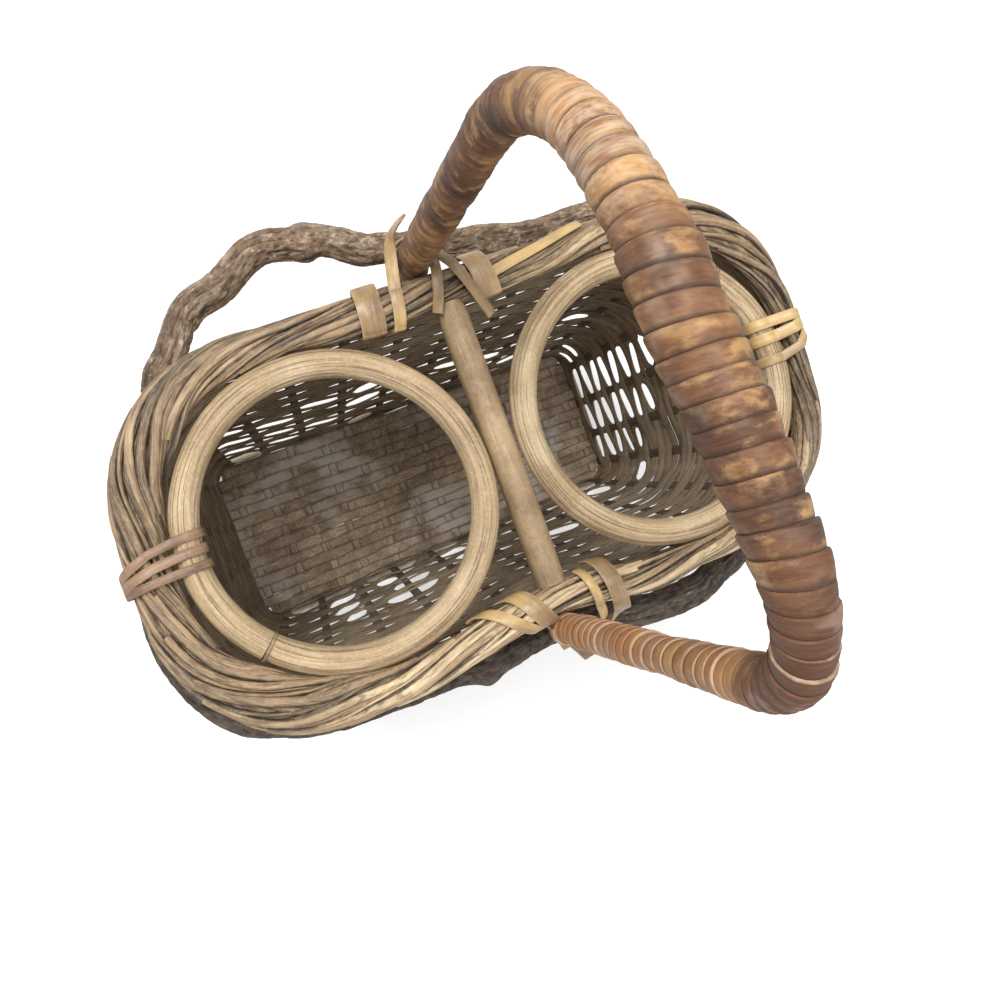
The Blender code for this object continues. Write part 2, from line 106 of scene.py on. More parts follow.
# Floor
floor_strip_width = 0.0064
floor_strip_pitch = 0.0056
floor_strip_thickness = 0.0010
floor_strip_inset = 0.003
floor_rib_width = 0.0046
floor_rib_thickness = 0.0011
floor_rib_inset = 0.0035
floor_rib_count = 12
floor_end_margin = 0.009
floor_side_margin = 0.005
floor_swing = 0.0010
floor_border_width = 0.0034
floor_border_depth = 0.0028
# The border's two strands, each a height and how far it lies in from the floor's edge.
floor_borders = ((0.0022, 0.0018), (0.0050, 0.0014))

# Rim
skin_strands = 21
under_strands = 8
rim_turns = 4
under_turns = 3
rim_steps = 320
strand_widths = (0.0013, 0.0016, 0.0020, 0.0027, 0.0034)
strand_thickness = 0.0019
loose_widening = 1.2
loose_thickness = 0.0016
under_width = 0.0046
under_thickness = 0.0030
under_room = 0.52

# Handle
peel_turns = 88
turn_steps = 26
peel_lap = 0.0030
peel_thickness = 0.0011
peel_foot = 0.008
peel_sink = 0.0019
peel_lean = 0.0008
peel_crown = 0.95
peel_run = 0.007

up = Vector((0, 0, 1))
luck = random.Random(7)


# Measures of the body


def quarter_length(half_length, half_width, corner):
    """A quarter of the way round a rounded rectangle."""
    return half_length + half_width - 2 * corner + corner * math.pi / 2


def outline(half_length, half_width, corner, share):
    """A point of a rounded rectangle and its outward direction, a share of the way
    round from the middle of its +X end."""
    flat_x = half_length - corner
    flat_y = half_width - corner
    arc = corner * math.pi / 2
    quarter = quarter_length(half_length, half_width, corner)
    turns, along = divmod(share % 1 * 4 * quarter, quarter)
    if int(turns) % 2 == 1:
        along = quarter - along
    if along < flat_y:
        x, y, nx, ny = half_length, along, 1, 0
    elif along < flat_y + arc:
        angle = (along - flat_y) / corner
        nx, ny = math.cos(angle), math.sin(angle)
        x, y = flat_x + corner * nx, flat_y + corner * ny
    else:
        x, y, nx, ny = flat_x - (along - flat_y - arc), half_width, 0, 1
    side_x = -1 if turns in (1, 2) else 1
    side_y = -1 if turns >= 2 else 1
    return Vector((side_x * x, side_y * y, 0)), Vector((side_x * nx, side_y * ny, 0))


def waist(x, y):
    """How far the front side is drawn in towards the divider at this place."""
    if y >= 0 or abs(x) >= waist_reach:
        return 0
    return front_waist * math.cos(math.pi / 2 * x / waist_reach) ** 2


def taper(x, y):
    """How far the front side of the floor is drawn in at this place, more to the right."""
    if y >= 0:
        return 0
    return front_taper * (1 + x / floor_half_length) / 2 * -y / floor_half_width


def rim_point(share):
    """A point of the rim's centre line."""
    point, _ = outline(rim_half_length, rim_half_width, rim_corner, share)
    point.y += waist(point.x, point.y)
    point.z = ring_height
    return point


def rim_frame(share):
    """A point of the rim's centre line, the way on along it and the way outward."""
    along = rim_point(share + 0.001) - rim_point(share - 0.001)
    along.normalize()
    return rim_point(share), along, along.cross(up)


def wall_sizes(level):
    """Half length, half width and corner of the wall's outer face, at a level."""
    foot = (floor_half_length, floor_half_width, floor_corner)
    top = (rim_half_length, rim_half_width, rim_corner)
    return [low + (high + wall_thickness / 2 - low) * level for low, high in zip(foot, top)]


def wall_level(height):
    """How far up the wall a height lies, from 0 at its foot to 1 at its top."""
    return (height - wall_foot) / (wall_top - wall_foot)


def wall_spot(share, height, inset):
    """A point of the wall at a height, set in from its outer face, and the way out."""
    level = wall_level(height)
    foot, _ = outline(*wall_sizes(0), share)
    top, _ = outline(*wall_sizes(1), share)
    point, outward = outline(*wall_sizes(level), share)
    point.y += taper(foot.x, foot.y) * (1 - level) + waist(top.x, top.y) * level
    point -= outward * inset
    point.z = height
    return point, outward


def long_side_share(distance, side, half_length, half_width, corner):
    """The share of an outline at a distance along it from the middle of a long side,
    counted towards +X."""
    quarter = quarter_length(half_length, half_width, corner)
    part = (quarter - distance) / (4 * quarter)
    return part if side > 0 else 1 - part


def rim_share_at(x, side):
    """The share round the rim at a distance from the divider, on one long side."""
    return long_side_share(x, side, rim_half_length, rim_half_width, rim_corner)


def blend(stations, x):
    """A smooth value between stations, each a place and a value."""
    for (before, low), (after, high) in zip(stations, stations[1:]):
        if before <= x <= after:
            part = (1 - math.cos(math.pi * (x - before) / (after - before))) / 2
            return low + (high - low) * part
    return stations[0][1] if x < stations[0][0] else stations[-1][1]


def clamp(value):
    return min(max(value, 0.0), 1.0)


def smooth_line(points, steps):
    """Points on a smooth line through the given ones."""
    line = []
    ends = [points[0] * 2 - points[1], *points, points[-1] * 2 - points[-2]]
    for number in range(len(points) - 1):
        p0, p1, p2, p3 = ends[number : number + 4]
        for step in range(steps):
            t = step / steps
            straight = 2 * p1 + (p2 - p0) * t
            bend = (2 * p0 - 5 * p1 + 4 * p2 - p3) * t * t
            turn = (3 * p1 - p0 - 3 * p2 + p3) * t**3
            line.append((straight + bend + turn) / 2)
    line.append(points[-1].copy())
    return line


def wave(seed, periods):
    """A smooth random value round a closed line, between about -1 and 1."""
    source = random.Random(seed)
    parts = [(n, source.uniform(0, 2 * math.pi), source.uniform(0.5, 1)) for n in periods]
    total = sum(size for _, _, size in parts)

    def value(share):
        return sum(s * math.sin(2 * math.pi * n * share + a) for n, a, s in parts) / total

    return value


# Strips

# Sections are seen along a strip: across it, out of it, and how near its edge.
flat_section = (
    (-0.86, -1.0, 0.8),
    (0.0, -1.0, 0.0),
    (0.86, -1.0, 0.8),
    (1.0, -0.4, 1.0),
    (1.0, 0.4, 1.0),
    (0.84, 0.95, 0.8),
    (0.0, 1.1, 0.0),
    (-0.84, 0.95, 0.8),
    (-1.0, 0.4, 1.0),
    (-1.0, -0.4, 1.0),
)
half_round_section = (
    (-0.88, -1.0, 0.9),
    (0.0, -1.0, 0.2),
    (0.88, -1.0, 0.9),
    (1.0, -0.5, 1.0),
    (0.84, 0.2, 0.7),
    (0.48, 0.78, 0.3),
    (0.0, 1.0, 0.0),
    (-0.48, 0.78, 0.3),
    (-0.84, 0.2, 0.7),
    (-1.0, -0.5, 1.0),
)


def round_section(sides):
    """A round section without edges."""
    turns = [2 * math.pi * number / sides for number in range(sides)]
    return tuple((math.cos(turn), math.sin(turn), 0.0) for turn in turns)


def grooved_section(sides, seed, depth):
    """A round section with shallow grooves that run on along the cane."""
    section = []
    for number in range(sides):
        turn = 2 * math.pi * number / sides
        place = Vector((math.cos(turn), math.sin(turn), seed))
        cut = max(0.0, noise.noise(place * 9.0)) * 2
        reach = 1 - depth * cut
        section.append((math.cos(turn) * reach, math.sin(turn) * reach, min(cut * 0.9, 1.0)))
    return tuple(section)


class Weaving:
    """Strips gathered into one piece, with their run, tone and edge kept on the mesh."""

    def __init__(self):
        self.points = []
        self.faces = []
        self.runs = []
        self.tones = []
        self.edges = []
        self.count = 0

    def lay(self, points, outs, widths, depths, section, tone, closed=False):
        """Adds one strip along points, its face turned outward."""
        line = np.array([tuple(p) for p in points])
        size = len(line)
        if closed:
            along = np.roll(line, -1, 0) - np.roll(line, 1, 0)
        else:
            along = np.gradient(line, axis=0)
        along /= np.linalg.norm(along, axis=1)[:, None]
        out = np.array([tuple(p) for p in outs])
        out -= (out * along).sum(1)[:, None] * along
        out /= np.linalg.norm(out, axis=1)[:, None]
        wide = np.cross(out, along)
        shape = np.array(section)
        sides = len(shape)
        half_width = np.broadcast_to(np.asarray(widths, float) / 2, (size,))
        half_depth = np.broadcast_to(np.asarray(depths, float) / 2, (size,))
        rings = (
            line[:, None]
            + wide[:, None] * (half_width[:, None] * shape[None, :, 0])[..., None]
            + out[:, None] * (half_depth[:, None] * shape[None, :, 1])[..., None]
        )
        steps = np.linalg.norm(np.diff(line, axis=0), axis=1)
        travel = np.concatenate([[0], np.cumsum(steps)])
        loop = travel[-1] + np.linalg.norm(line[0] - line[-1])
        offset = self.count * 0.0137 % 1
        girth = np.linalg.norm(np.diff(rings[0], axis=0, append=rings[0][:1]), axis=1)
        around = np.concatenate([[0], np.cumsum(girth)])
        start = self.count
        last = size if closed else size - 1
        for row in range(last):
            low = start + row * sides
            high = start + (row + 1) % size * sides
            u0 = offset + travel[row]
            u1 = offset + (loop if row == size - 1 else travel[row + 1])
            for side in range(sides):
                after = (side + 1) % sides
                self.faces.append((low + side, low + after, high + after, high + side))
                v0, v1 = around[side], around[side + 1]
                self.runs.extend(((u0, v0), (u0, v1), (u1, v1), (u1, v0)))
        if not closed:
            flat = [(offset + x * 0.002, y * 0.002) for x, y, _ in section]
            self.faces.append(tuple(start + side for side in reversed(range(sides))))
            self.runs.extend(reversed(flat))
            end = start + (size - 1) * sides
            self.faces.append(tuple(end + side for side in range(sides)))
            self.runs.extend(flat)
        self.points.extend(rings.reshape(-1, 3).tolist())
        tone_line = np.broadcast_to(np.asarray(tone, float), (size,))
        self.tones.extend(np.repeat(tone_line, sides).tolist())
        self.edges.extend(np.tile(shape[:, 2], size).tolist())
        self.count += size * sides

    def make(self, name, finish, slot, *nodes):
        """Turns the strips into one piece that stands for the named nodes."""
        values = {"tone": self.tones, "edge": self.edges}
        return make_piece(name, self.points, self.faces, self.runs, values, finish, slot, *nodes)


def make_piece(name, points, faces, runs, values, finish, slot, *nodes):
    """A mesh piece that rides on the basket and stands for the named nodes."""
    mesh = bpy.data.meshes.new(name)
    mesh.from_pydata(points, [], faces)
    mesh.update()
    layer = mesh.uv_layers.new(name="run")
    layer.uv.foreach_set("vector", np.array(runs, np.float32).ravel())
    for label, numbers in values.items():
        attribute = mesh.attributes.new(label, "FLOAT", "POINT")
        attribute.data.foreach_set("value", np.array(numbers, np.float32))
    mesh.shade_smooth()
    mesh.set_sharp_from_angle(angle=math.radians(50))
    mesh.materials.append(finish)
    piece = bpy.data.objects.new(name, mesh)
    bpy.context.scene.collection.objects.link(piece)
    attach(piece, "root")
    if nodes:
        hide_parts(*nodes)
    return piece


# Finishes


def put(tree, kind, **values):
    """Adds a node and sets its inputs by name, with spaces as underscores."""
    made = tree.nodes.new(kind)
    for label, value in values.items():
        made.inputs[label.replace("_", " ")].default_value = value
    return made


def new_group(name, inputs, outputs):
    """An empty node group with its sockets, each a label and a first value."""
    tree = bpy.data.node_groups.new(name, "ShaderNodeTree")
    for way, sockets in (("INPUT", inputs), ("OUTPUT", outputs)):
        for label, value in sockets:
            kind = "NodeSocketFloat" if isinstance(value, (int, float)) else "NodeSocketColor"
            socket = tree.interface.new_socket(label, in_out=way, socket_type=kind)
            socket.default_value = value if kind == "NodeSocketFloat" else (*value, 1)
    return tree, tree.nodes.new("NodeGroupInput"), tree.nodes.new("NodeGroupOutput")


def sum_up(tree, kind, first, second):
    """A Math node fed by sockets or plain numbers."""
    made = tree.nodes.new("ShaderNodeMath")
    made.operation = kind
    for slot_number, value in enumerate((first, second)):
        if isinstance(value, (int, float)):
            made.inputs[slot_number].default_value = value
        else:
            tree.links.new(value, made.inputs[slot_number])
    return made.outputs[0]


def fade(tree, value, low, high):
    """A smooth 0 to 1 as the value goes from low to high."""
    made = tree.nodes.new("ShaderNodeMapRange")
    made.interpolation_type = "SMOOTHSTEP"
    for label, number in (("From Min", low), ("From Max", high)):
        if isinstance(number, (int, float)):
            made.inputs[label].default_value = number
        else:
            tree.links.new(number, made.inputs[label])
    tree.links.new(value, made.inputs["Value"])
    return made.outputs["Result"]


def mix(tree, factor, first, second, kind="MIX"):
    """A colour between two, each a socket or a plain colour."""
    made = tree.nodes.new("ShaderNodeMix")
    made.data_type = "RGBA"
    made.blend_type = kind
    for number, value in ((0, factor), (6, first), (7, second)):
        if isinstance(value, (int, float)):
            made.inputs[number].default_value = value
        elif isinstance(value, tuple):
            made.inputs[number].default_value = (*value, 1)
        else:
            tree.links.new(value, made.inputs[number])
    return made.outputs[2]


def read_value(tree, label):
    """A value kept on the mesh."""
    made = tree.nodes.new("ShaderNodeAttribute")
    made.attribute_name = label
    return made.outputs["Fac"]


def cloud_at(tree, scale, detail, roughness=0.5):
    """Soft noise through the object, as a 0 to 1 value."""
    spot = tree.nodes.new("ShaderNodeTexCoord")
    cloud = put(tree, "ShaderNodeTexNoise", Detail=detail, Roughness=roughness)
    tree.links.new(spot.outputs["Object"], cloud.inputs["Vector"])
    if isinstance(scale, (int, float)):
        cloud.inputs["Scale"].default_value = scale
    else:
        tree.links.new(scale, cloud.inputs["Scale"])
    return cloud.outputs["Fac"]


def stretched_run(tree, along, across):
    """A strip's own run, scaled along it and across it."""
    run = tree.nodes.new("ShaderNodeUVMap")
    run.uv_map = "run"
    stretch = tree.nodes.new("ShaderNodeMapping")
    stretch.inputs["Scale"].default_value = (along, across, 1)
    tree.links.new(run.outputs["UV"], stretch.inputs["Vector"])
    return stretch.outputs["Vector"]


def build_grain():
    """Streaks that run along a strip, read from its run."""
    tree, given, out = new_group(
        "lengthwise_grain",
        (("Along", 60.0), ("Across", 900.0), ("Seed", 0.0)),
        (("Streaks", 0.5), ("Fine", 0.5), ("Lines", 0.5), ("Height", 0.5)),
    )
    run = tree.nodes.new("ShaderNodeUVMap")
    run.uv_map = "run"
    parts = tree.nodes.new("ShaderNodeSeparateXYZ")
    tree.links.new(run.outputs["UV"], parts.inputs[0])
    shift = sum_up(tree, "MULTIPLY", read_value(tree, "tone"), 41.0)
    shift = sum_up(tree, "ADD", shift, given.outputs["Seed"])
    u = sum_up(tree, "MULTIPLY", parts.outputs[0], given.outputs["Along"])
    v = sum_up(tree, "MULTIPLY", parts.outputs[1], given.outputs["Across"])
    results = []
    for zoom, detail in ((1.0, 3.0), (3.1, 2.0)):
        place = tree.nodes.new("ShaderNodeCombineXYZ")
        tree.links.new(sum_up(tree, "MULTIPLY", u, zoom), place.inputs[0])
        tree.links.new(sum_up(tree, "MULTIPLY", v, zoom), place.inputs[1])
        tree.links.new(shift, place.inputs[2])
        cloud = put(tree, "ShaderNodeTexNoise", Scale=1.0, Detail=detail, Roughness=0.6)
        tree.links.new(place.outputs[0], cloud.inputs["Vector"])
        results.append(fade(tree, cloud.outputs["Fac"], 0.30, 0.70))
    tree.links.new(results[0], out.inputs["Streaks"])
    tree.links.new(results[1], out.inputs["Fine"])
    tree.links.new(fade(tree, results[0], 0.60, 0.95), out.inputs["Lines"])
    coarse = sum_up(tree, "MULTIPLY", results[0], 0.6)
    fine = sum_up(tree, "MULTIPLY", results[1], 0.4)
    tree.links.new(sum_up(tree, "ADD", coarse, fine), out.inputs["Height"])
    return tree


def build_tone():
    """Three colours picked by a strip's own tone and by soft patches."""
    tree, given, out = new_group(
        "aged_tone",
        (
            ("Pale", (0.7, 0.6, 0.4)),
            ("Middle", (0.5, 0.35, 0.2)),
            ("Dark", (0.2, 0.12, 0.07)),
            ("Patch Scale", 60.0),
            ("Patch Share", 0.4),
        ),
        (("Color", (0.5, 0.35, 0.2)),),
    )
    patch = fade(tree, cloud_at(tree, given.outputs["Patch Scale"], 3.0, 0.55), 0.3, 0.7)
    share = given.outputs["Patch Share"]
    own = sum_up(tree, "MULTIPLY", read_value(tree, "tone"), sum_up(tree, "SUBTRACT", 1.0, share))
    value = sum_up(tree, "ADD", own, sum_up(tree, "MULTIPLY", patch, share))
    low = mix(tree, fade(tree, value, 0.05, 0.5), given.outputs["Dark"], given.outputs["Middle"])
    colour = mix(tree, fade(tree, value, 0.5, 0.95), low, given.outputs["Pale"])
    tree.links.new(colour, out.inputs["Color"])
    return tree


def build_edge():
    """A colour that comes in towards a strip's edges, broken up by noise. On the rim it is
    painted shade between the strands, and on the handle partly painted highlight.
    """
    tree, given, out = new_group(
        "strip_edge",
        (
            ("Color", (0.5, 0.4, 0.3)),
            ("Edge Color", (0.2, 0.1, 0.05)),
            ("Start", 0.6),
            ("Amount", 0.6),
        ),
        (("Color", (0.5, 0.4, 0.3)),),
    )
    edge_breakup = sum_up(tree, "MULTIPLY", cloud_at(tree, 420.0, 2.0), 0.5)
    reach = sum_up(tree, "ADD", read_value(tree, "edge"), sum_up(tree, "SUBTRACT", edge_breakup, 0.25))
    mask = fade(tree, reach, given.outputs["Start"], 1.0)
    mask = sum_up(tree, "MULTIPLY", mask, given.outputs["Amount"])
    colour = mix(tree, mask, given.outputs["Color"], given.outputs["Edge Color"])
    tree.links.new(colour, out.inputs["Color"])
    return tree


def build_flecks():
    """Pale and dark flecks through the object, as two masks."""
    tree, given, out = new_group(
        "fibre_flecks",
        (("Scale", 500.0), ("Amount", 0.2)),
        (("Pale", 0.0), ("Dark", 0.0)),
    )
    spots = cloud_at(tree, given.outputs["Scale"], 3.0, 0.65)
    for label, low, high in (("Pale", 0.54, 0.66), ("Dark", 0.45, 0.34)):
        mask = sum_up(tree, "MULTIPLY", fade(tree, spots, low, high), given.outputs["Amount"])
        tree.links.new(mask, out.inputs[label])
    return tree


def place_group(tree, group, **values):
    """Places a node group and sets or feeds its inputs by name."""
    made = tree.nodes.new("ShaderNodeGroup")
    made.node_tree = group
    for label, value in values.items():
        socket = made.inputs[label.replace("_", " ")]
        if isinstance(value, tuple):
            socket.default_value = (*value, 1)
        elif isinstance(value, (int, float)):
            socket.default_value = value
        else:
            tree.links.new(value, socket)
    return made


grain_group = build_grain()
tone_group = build_tone()
edge_group = build_edge()
fleck_group = build_flecks()


def finish_surface(tree, grain, colour, rough, bump, depth, coat):
    """Feeds the shader its colour, a roughness that follows the grain and a relief."""
    shader = tree.nodes["Principled BSDF"]
    tree.links.new(colour, shader.inputs["Base Color"])
    gloss = put(tree, "ShaderNodeMapRange", To_Min=rough[0], To_Max=rough[1])
    tree.links.new(grain.outputs["Height"], gloss.inputs["Value"])
    tree.links.new(gloss.outputs["Result"], shader.inputs["Roughness"])
    relief = put(tree, "ShaderNodeBump", Strength=bump, Distance=depth)
    tree.links.new(grain.outputs["Height"], relief.inputs["Height"])
    tree.links.new(relief.outputs["Normal"], shader.inputs["Normal"])
    shader.inputs["Coat Weight"].default_value = coat
    shader.inputs["Coat Roughness"].default_value = 0.25


def fibre_finish(
    name,
    pale,
    middle,
    dark,
    edge,
    patch_scale=60.0,
    patch_share=0.4,
    along=60.0,
    across=900.0,
    streak=0.35,
    edge_start=0.6,
    edge_amount=0.6,
    rough=(0.45, 0.75),
    bump=0.5,
    depth=0.0003,
    coat=0.0,
    pores=0.0,
    flecks=0.0,
    fleck_scale=500.0,
    dust=0.0,
    lines=0.0,
):
    """A plant fibre: toned colour, lengthwise streaks, coloured edges and a fine relief.
    The rim's near-black edges are painted shade between its strands.
    """
    finish = bpy.data.materials.new(name)
    finish.use_nodes = True
    tree = finish.node_tree
    tone = place_group(
        tree,
        tone_group,
        Pale=pale,
        Middle=middle,
        Dark=dark,
        Patch_Scale=patch_scale,
        Patch_Share=patch_share,
    )
    grain = place_group(tree, grain_group, Along=along, Across=across, Seed=len(name) * 1.7)
    deep = mix(tree, 1.0, tone.outputs["Color"], (0.42, 0.36, 0.32), "MULTIPLY")
    mask = sum_up(tree, "MULTIPLY", grain.outputs["Streaks"], streak)
    colour = mix(tree, mask, tone.outputs["Color"], deep)
    fine = sum_up(tree, "MULTIPLY", grain.outputs["Fine"], streak * 0.5)
    colour = mix(tree, fine, colour, pale)
    if lines:
        line = sum_up(tree, "MULTIPLY", grain.outputs["Lines"], lines)
        colour = mix(tree, line, colour, dark)
    if dust:
        haze = fade(tree, cloud_at(tree, 22.0, 4.0, 0.6), 0.47, 0.66)
        colour = mix(tree, sum_up(tree, "MULTIPLY", haze, dust), colour, (0.66, 0.60, 0.53))
    if pores:
        dots = put(tree, "ShaderNodeTexVoronoi", Scale=1.0)
        tree.links.new(stretched_run(tree, 900, 2200), dots.inputs["Vector"])
        pore = fade(tree, dots.outputs["Distance"], 0.28, 0.10)
        colour = mix(tree, sum_up(tree, "MULTIPLY", pore, pores), colour, dark)
    if flecks:
        spots = place_group(tree, fleck_group, Scale=fleck_scale, Amount=flecks)
        colour = mix(tree, spots.outputs["Pale"], colour, pale)
        colour = mix(tree, spots.outputs["Dark"], colour, dark)
    edges = place_group(
        tree, edge_group, Color=colour, Edge_Color=edge, Start=edge_start, Amount=edge_amount
    )
    finish_surface(tree, grain, edges.outputs["Color"], rough, bump, depth, coat)
    return finish


wall_finish = fibre_finish(
    "weaver_grey_brown",
    pale=(0.64, 0.52, 0.36),
    middle=(0.41, 0.315, 0.21),
    dark=(0.20, 0.145, 0.095),
    edge=(0.10, 0.07, 0.045),
    patch_scale=45.0,
    patch_share=0.45,
    streak=0.5,
    rough=(0.5, 0.85),
)
stake_finish = fibre_finish(
    "stake_dark_brown",
    pale=(0.28, 0.22, 0.15),
    middle=(0.18, 0.13, 0.09),
    dark=(0.10, 0.07, 0.05),
    edge=(0.08, 0.055, 0.04),
    streak=0.5,
    rough=(0.5, 0.85),
)
floor_finish = fibre_finish(
    "floor_strip_brown",
    pale=(0.66, 0.52, 0.35),
    middle=(0.42, 0.315, 0.215),
    dark=(0.17, 0.12, 0.08),
    edge=(0.10, 0.07, 0.047),
    patch_scale=70.0,
    patch_share=0.45,
    streak=0.85,
    edge_start=0.5,
    edge_amount=0.7,
    rough=(0.55, 0.9),
    lines=0.4,
    flecks=0.3,
    fleck_scale=180.0,
    dust=0.75,
)
# The rim's near-black strand edges are painted shade between the strands.
rim_finish = fibre_finish(
    "rim_strand_straw",
    pale=(0.78, 0.60, 0.36),
    middle=(0.31, 0.195, 0.105),
    dark=(0.06, 0.036, 0.021),
    edge=(0.035, 0.024, 0.017),
    patch_scale=28.0,
    patch_share=0.34,
    streak=0.6,
    edge_start=0.38,
    edge_amount=0.96,
    rough=(0.4, 0.7),
    bump=0.7,
    flecks=0.12,
    lines=0.4,
)
cane_finish = fibre_finish(
    "ring_cane_pale",
    pale=(0.80, 0.63, 0.40),
    middle=(0.50, 0.35, 0.19),
    dark=(0.17, 0.105, 0.058),
    edge=(0.17, 0.105, 0.06),
    patch_scale=42.0,
    patch_share=0.4,
    along=26.0,
    across=1500.0,
    streak=0.6,
    edge_start=0.45,
    edge_amount=0.6,
    rough=(0.4, 0.66),
    bump=0.8,
    flecks=0.25,
    fleck_scale=900.0,
    lines=0.7,
)
divider_finish = fibre_finish(
    "divider_cane_pink",
    pale=(0.58, 0.43, 0.25),
    middle=(0.40, 0.275, 0.155),
    dark=(0.13, 0.078, 0.046),
    edge=(0.25, 0.165, 0.10),
    patch_scale=40.0,
    patch_share=0.5,
    across=800.0,
    streak=0.35,
    rough=(0.45, 0.7),
    bump=0.5,
    pores=0.8,
    flecks=0.2,
)
bark_finish = fibre_finish(
    "vine_bark_tan",
    pale=(0.82, 0.64, 0.46),
    middle=(0.50, 0.33, 0.205),
    dark=(0.17, 0.105, 0.068),
    edge=(0.12, 0.078, 0.052),
    patch_scale=55.0,
    patch_share=0.3,
    along=110.0,
    across=600.0,
    streak=0.45,
    edge_start=0.4,
    edge_amount=0.7,
    rough=(0.7, 0.95),
    bump=1.0,
    depth=0.0007,
    flecks=0.6,
    fleck_scale=380.0,
)
# The front vine's bark: a darker, greyer copy of the rear's, partly its own colour, partly painted
# shade.
shaded_grey_bark_finish = fibre_finish(
    "vine_bark_grey",
    pale=(0.34, 0.27, 0.205),
    middle=(0.17, 0.13, 0.098),
    dark=(0.065, 0.048, 0.038),
    edge=(0.04, 0.03, 0.025),
    patch_scale=55.0,
    patch_share=0.35,
    along=90.0,
    across=600.0,
    streak=0.4,
    edge_start=0.4,
    edge_amount=0.7,
    rough=(0.7, 0.95),
    bump=1.0,
    depth=0.0007,
    flecks=0.45,
    fleck_scale=330.0,
)
tie_finish = fibre_finish(
    "tie_peel_tan",
    pale=(0.66, 0.45, 0.19),
    middle=(0.38, 0.245, 0.125),
    dark=(0.15, 0.088, 0.05),
    edge=(0.58, 0.45, 0.28),
    patch_scale=55.0,
    patch_share=0.45,
    streak=0.35,
    edge_start=0.85,
    edge_amount=0.5,
    rough=(0.28, 0.5),
    coat=0.25,
    flecks=0.15,
)
worn_tie_finish = fibre_finish(
    "tie_peel_worn",
    pale=(0.46, 0.31, 0.20),
    middle=(0.33, 0.20, 0.12),
    dark=(0.13, 0.08, 0.05),
    edge=(0.40, 0.29, 0.20),
    patch_scale=70.0,
    patch_share=0.5,
    streak=0.5,
    edge_start=0.85,
    edge_amount=0.4,
    rough=(0.35, 0.6),
    bump=0.7,
    flecks=0.25,
)
pole_finish = fibre_finish(
    "pole_bare_brown",
    pale=(0.34, 0.21, 0.12),
    middle=(0.22, 0.13, 0.08),
    dark=(0.10, 0.06, 0.04),
    edge=(0.1, 0.06, 0.04),
    rough=(0.4, 0.7),
)


def cloud_along(tree, along, across):
    """Soft noise drawn out along a strip."""
    cloud = put(tree, "ShaderNodeTexNoise", Scale=1.0, Detail=4.0, Roughness=0.6)
    tree.links.new(stretched_run(tree, along, across), cloud.inputs["Vector"])
    return cloud.outputs["Fac"]


def build_peel_finish():
    """Wound peel, dull to half gloss: honey, orange brown and sooty stretches, mottled
    along each turn, with pale lips on the free edges, partly the peel's paler cut edge and
    partly painted highlight, and painted shade where a turn tucks under the next."""
    finish = bpy.data.materials.new("handle_peel_mottled")
    finish.use_nodes = True
    tree = finish.node_tree
    warm = place_group(
        tree,
        tone_group,
        Pale=(0.50, 0.275, 0.105),
        Middle=(0.19, 0.082, 0.036),
        Dark=(0.055, 0.024, 0.016),
        Patch_Scale=70.0,
        Patch_Share=0.55,
    )
    smoke = read_value(tree, "smoke")
    haze = fade(tree, cloud_along(tree, 62.0, 110.0), 0.44, 0.58)
    haze = sum_up(tree, "MULTIPLY", haze, smoke)
    soot = sum_up(tree, "MULTIPLY", fade(tree, smoke, 0.75, 1.0), 0.8)
    haze = sum_up(tree, "MAXIMUM", haze, soot)
    colour = mix(tree, haze, warm.outputs["Color"], (0.12, 0.046, 0.020))
    grain = place_group(tree, grain_group, Along=40.0, Across=330.0, Seed=3.0)
    deep = mix(tree, 1.0, colour, (0.5, 0.42, 0.38), "MULTIPLY")
    colour = mix(tree, sum_up(tree, "MULTIPLY", grain.outputs["Streaks"], 0.25), colour, deep)
    bright = sum_up(tree, "MULTIPLY", fade(tree, smoke, 0.5, 0.0), 0.65)
    colour = mix(tree, bright, colour, (0.66, 0.26, 0.08))
    ash = sum_up(tree, "MULTIPLY", fade(tree, cloud_at(tree, 62.0, 3.0, 0.6), 0.56, 0.68), 0.45)
    colour = mix(tree, ash, colour, (0.40, 0.28, 0.21))
    honey = sum_up(tree, "MULTIPLY", fade(tree, cloud_along(tree, 95.0, 150.0), 0.50, 0.66), 0.8)
    honey = sum_up(tree, "MULTIPLY", honey, fade(tree, smoke, 1.0, 0.75))
    colour = mix(tree, honey, colour, (0.46, 0.26, 0.10))
    scuff = sum_up(tree, "MULTIPLY", grain.outputs["Fine"], read_value(tree, "scuff"))
    colour = mix(tree, scuff, colour, (0.78, 0.64, 0.47))
    # Painted shade: a dark line where each turn runs under the next turn's raised free edge.
    crease_shade = sum_up(tree, "MULTIPLY", read_value(tree, "crease_shade"), 0.85)
    colour = mix(tree, crease_shade, colour, (0.045, 0.026, 0.018))
    # Pale lips on the free edges: partly the peel's paler cut edge, partly painted highlight.
    edges = place_group(
        tree, edge_group, Color=colour, Edge_Color=(0.70, 0.50, 0.34), Start=0.35, Amount=0.75
    )
    finish_surface(tree, grain, edges.outputs["Color"], (0.46, 0.68), 0.6, 0.0003, 0.0)
    tree.nodes["Principled BSDF"].inputs["Specular IOR Level"].default_value = 0.35
    return finish


peel_finish = build_peel_finish()


# Body


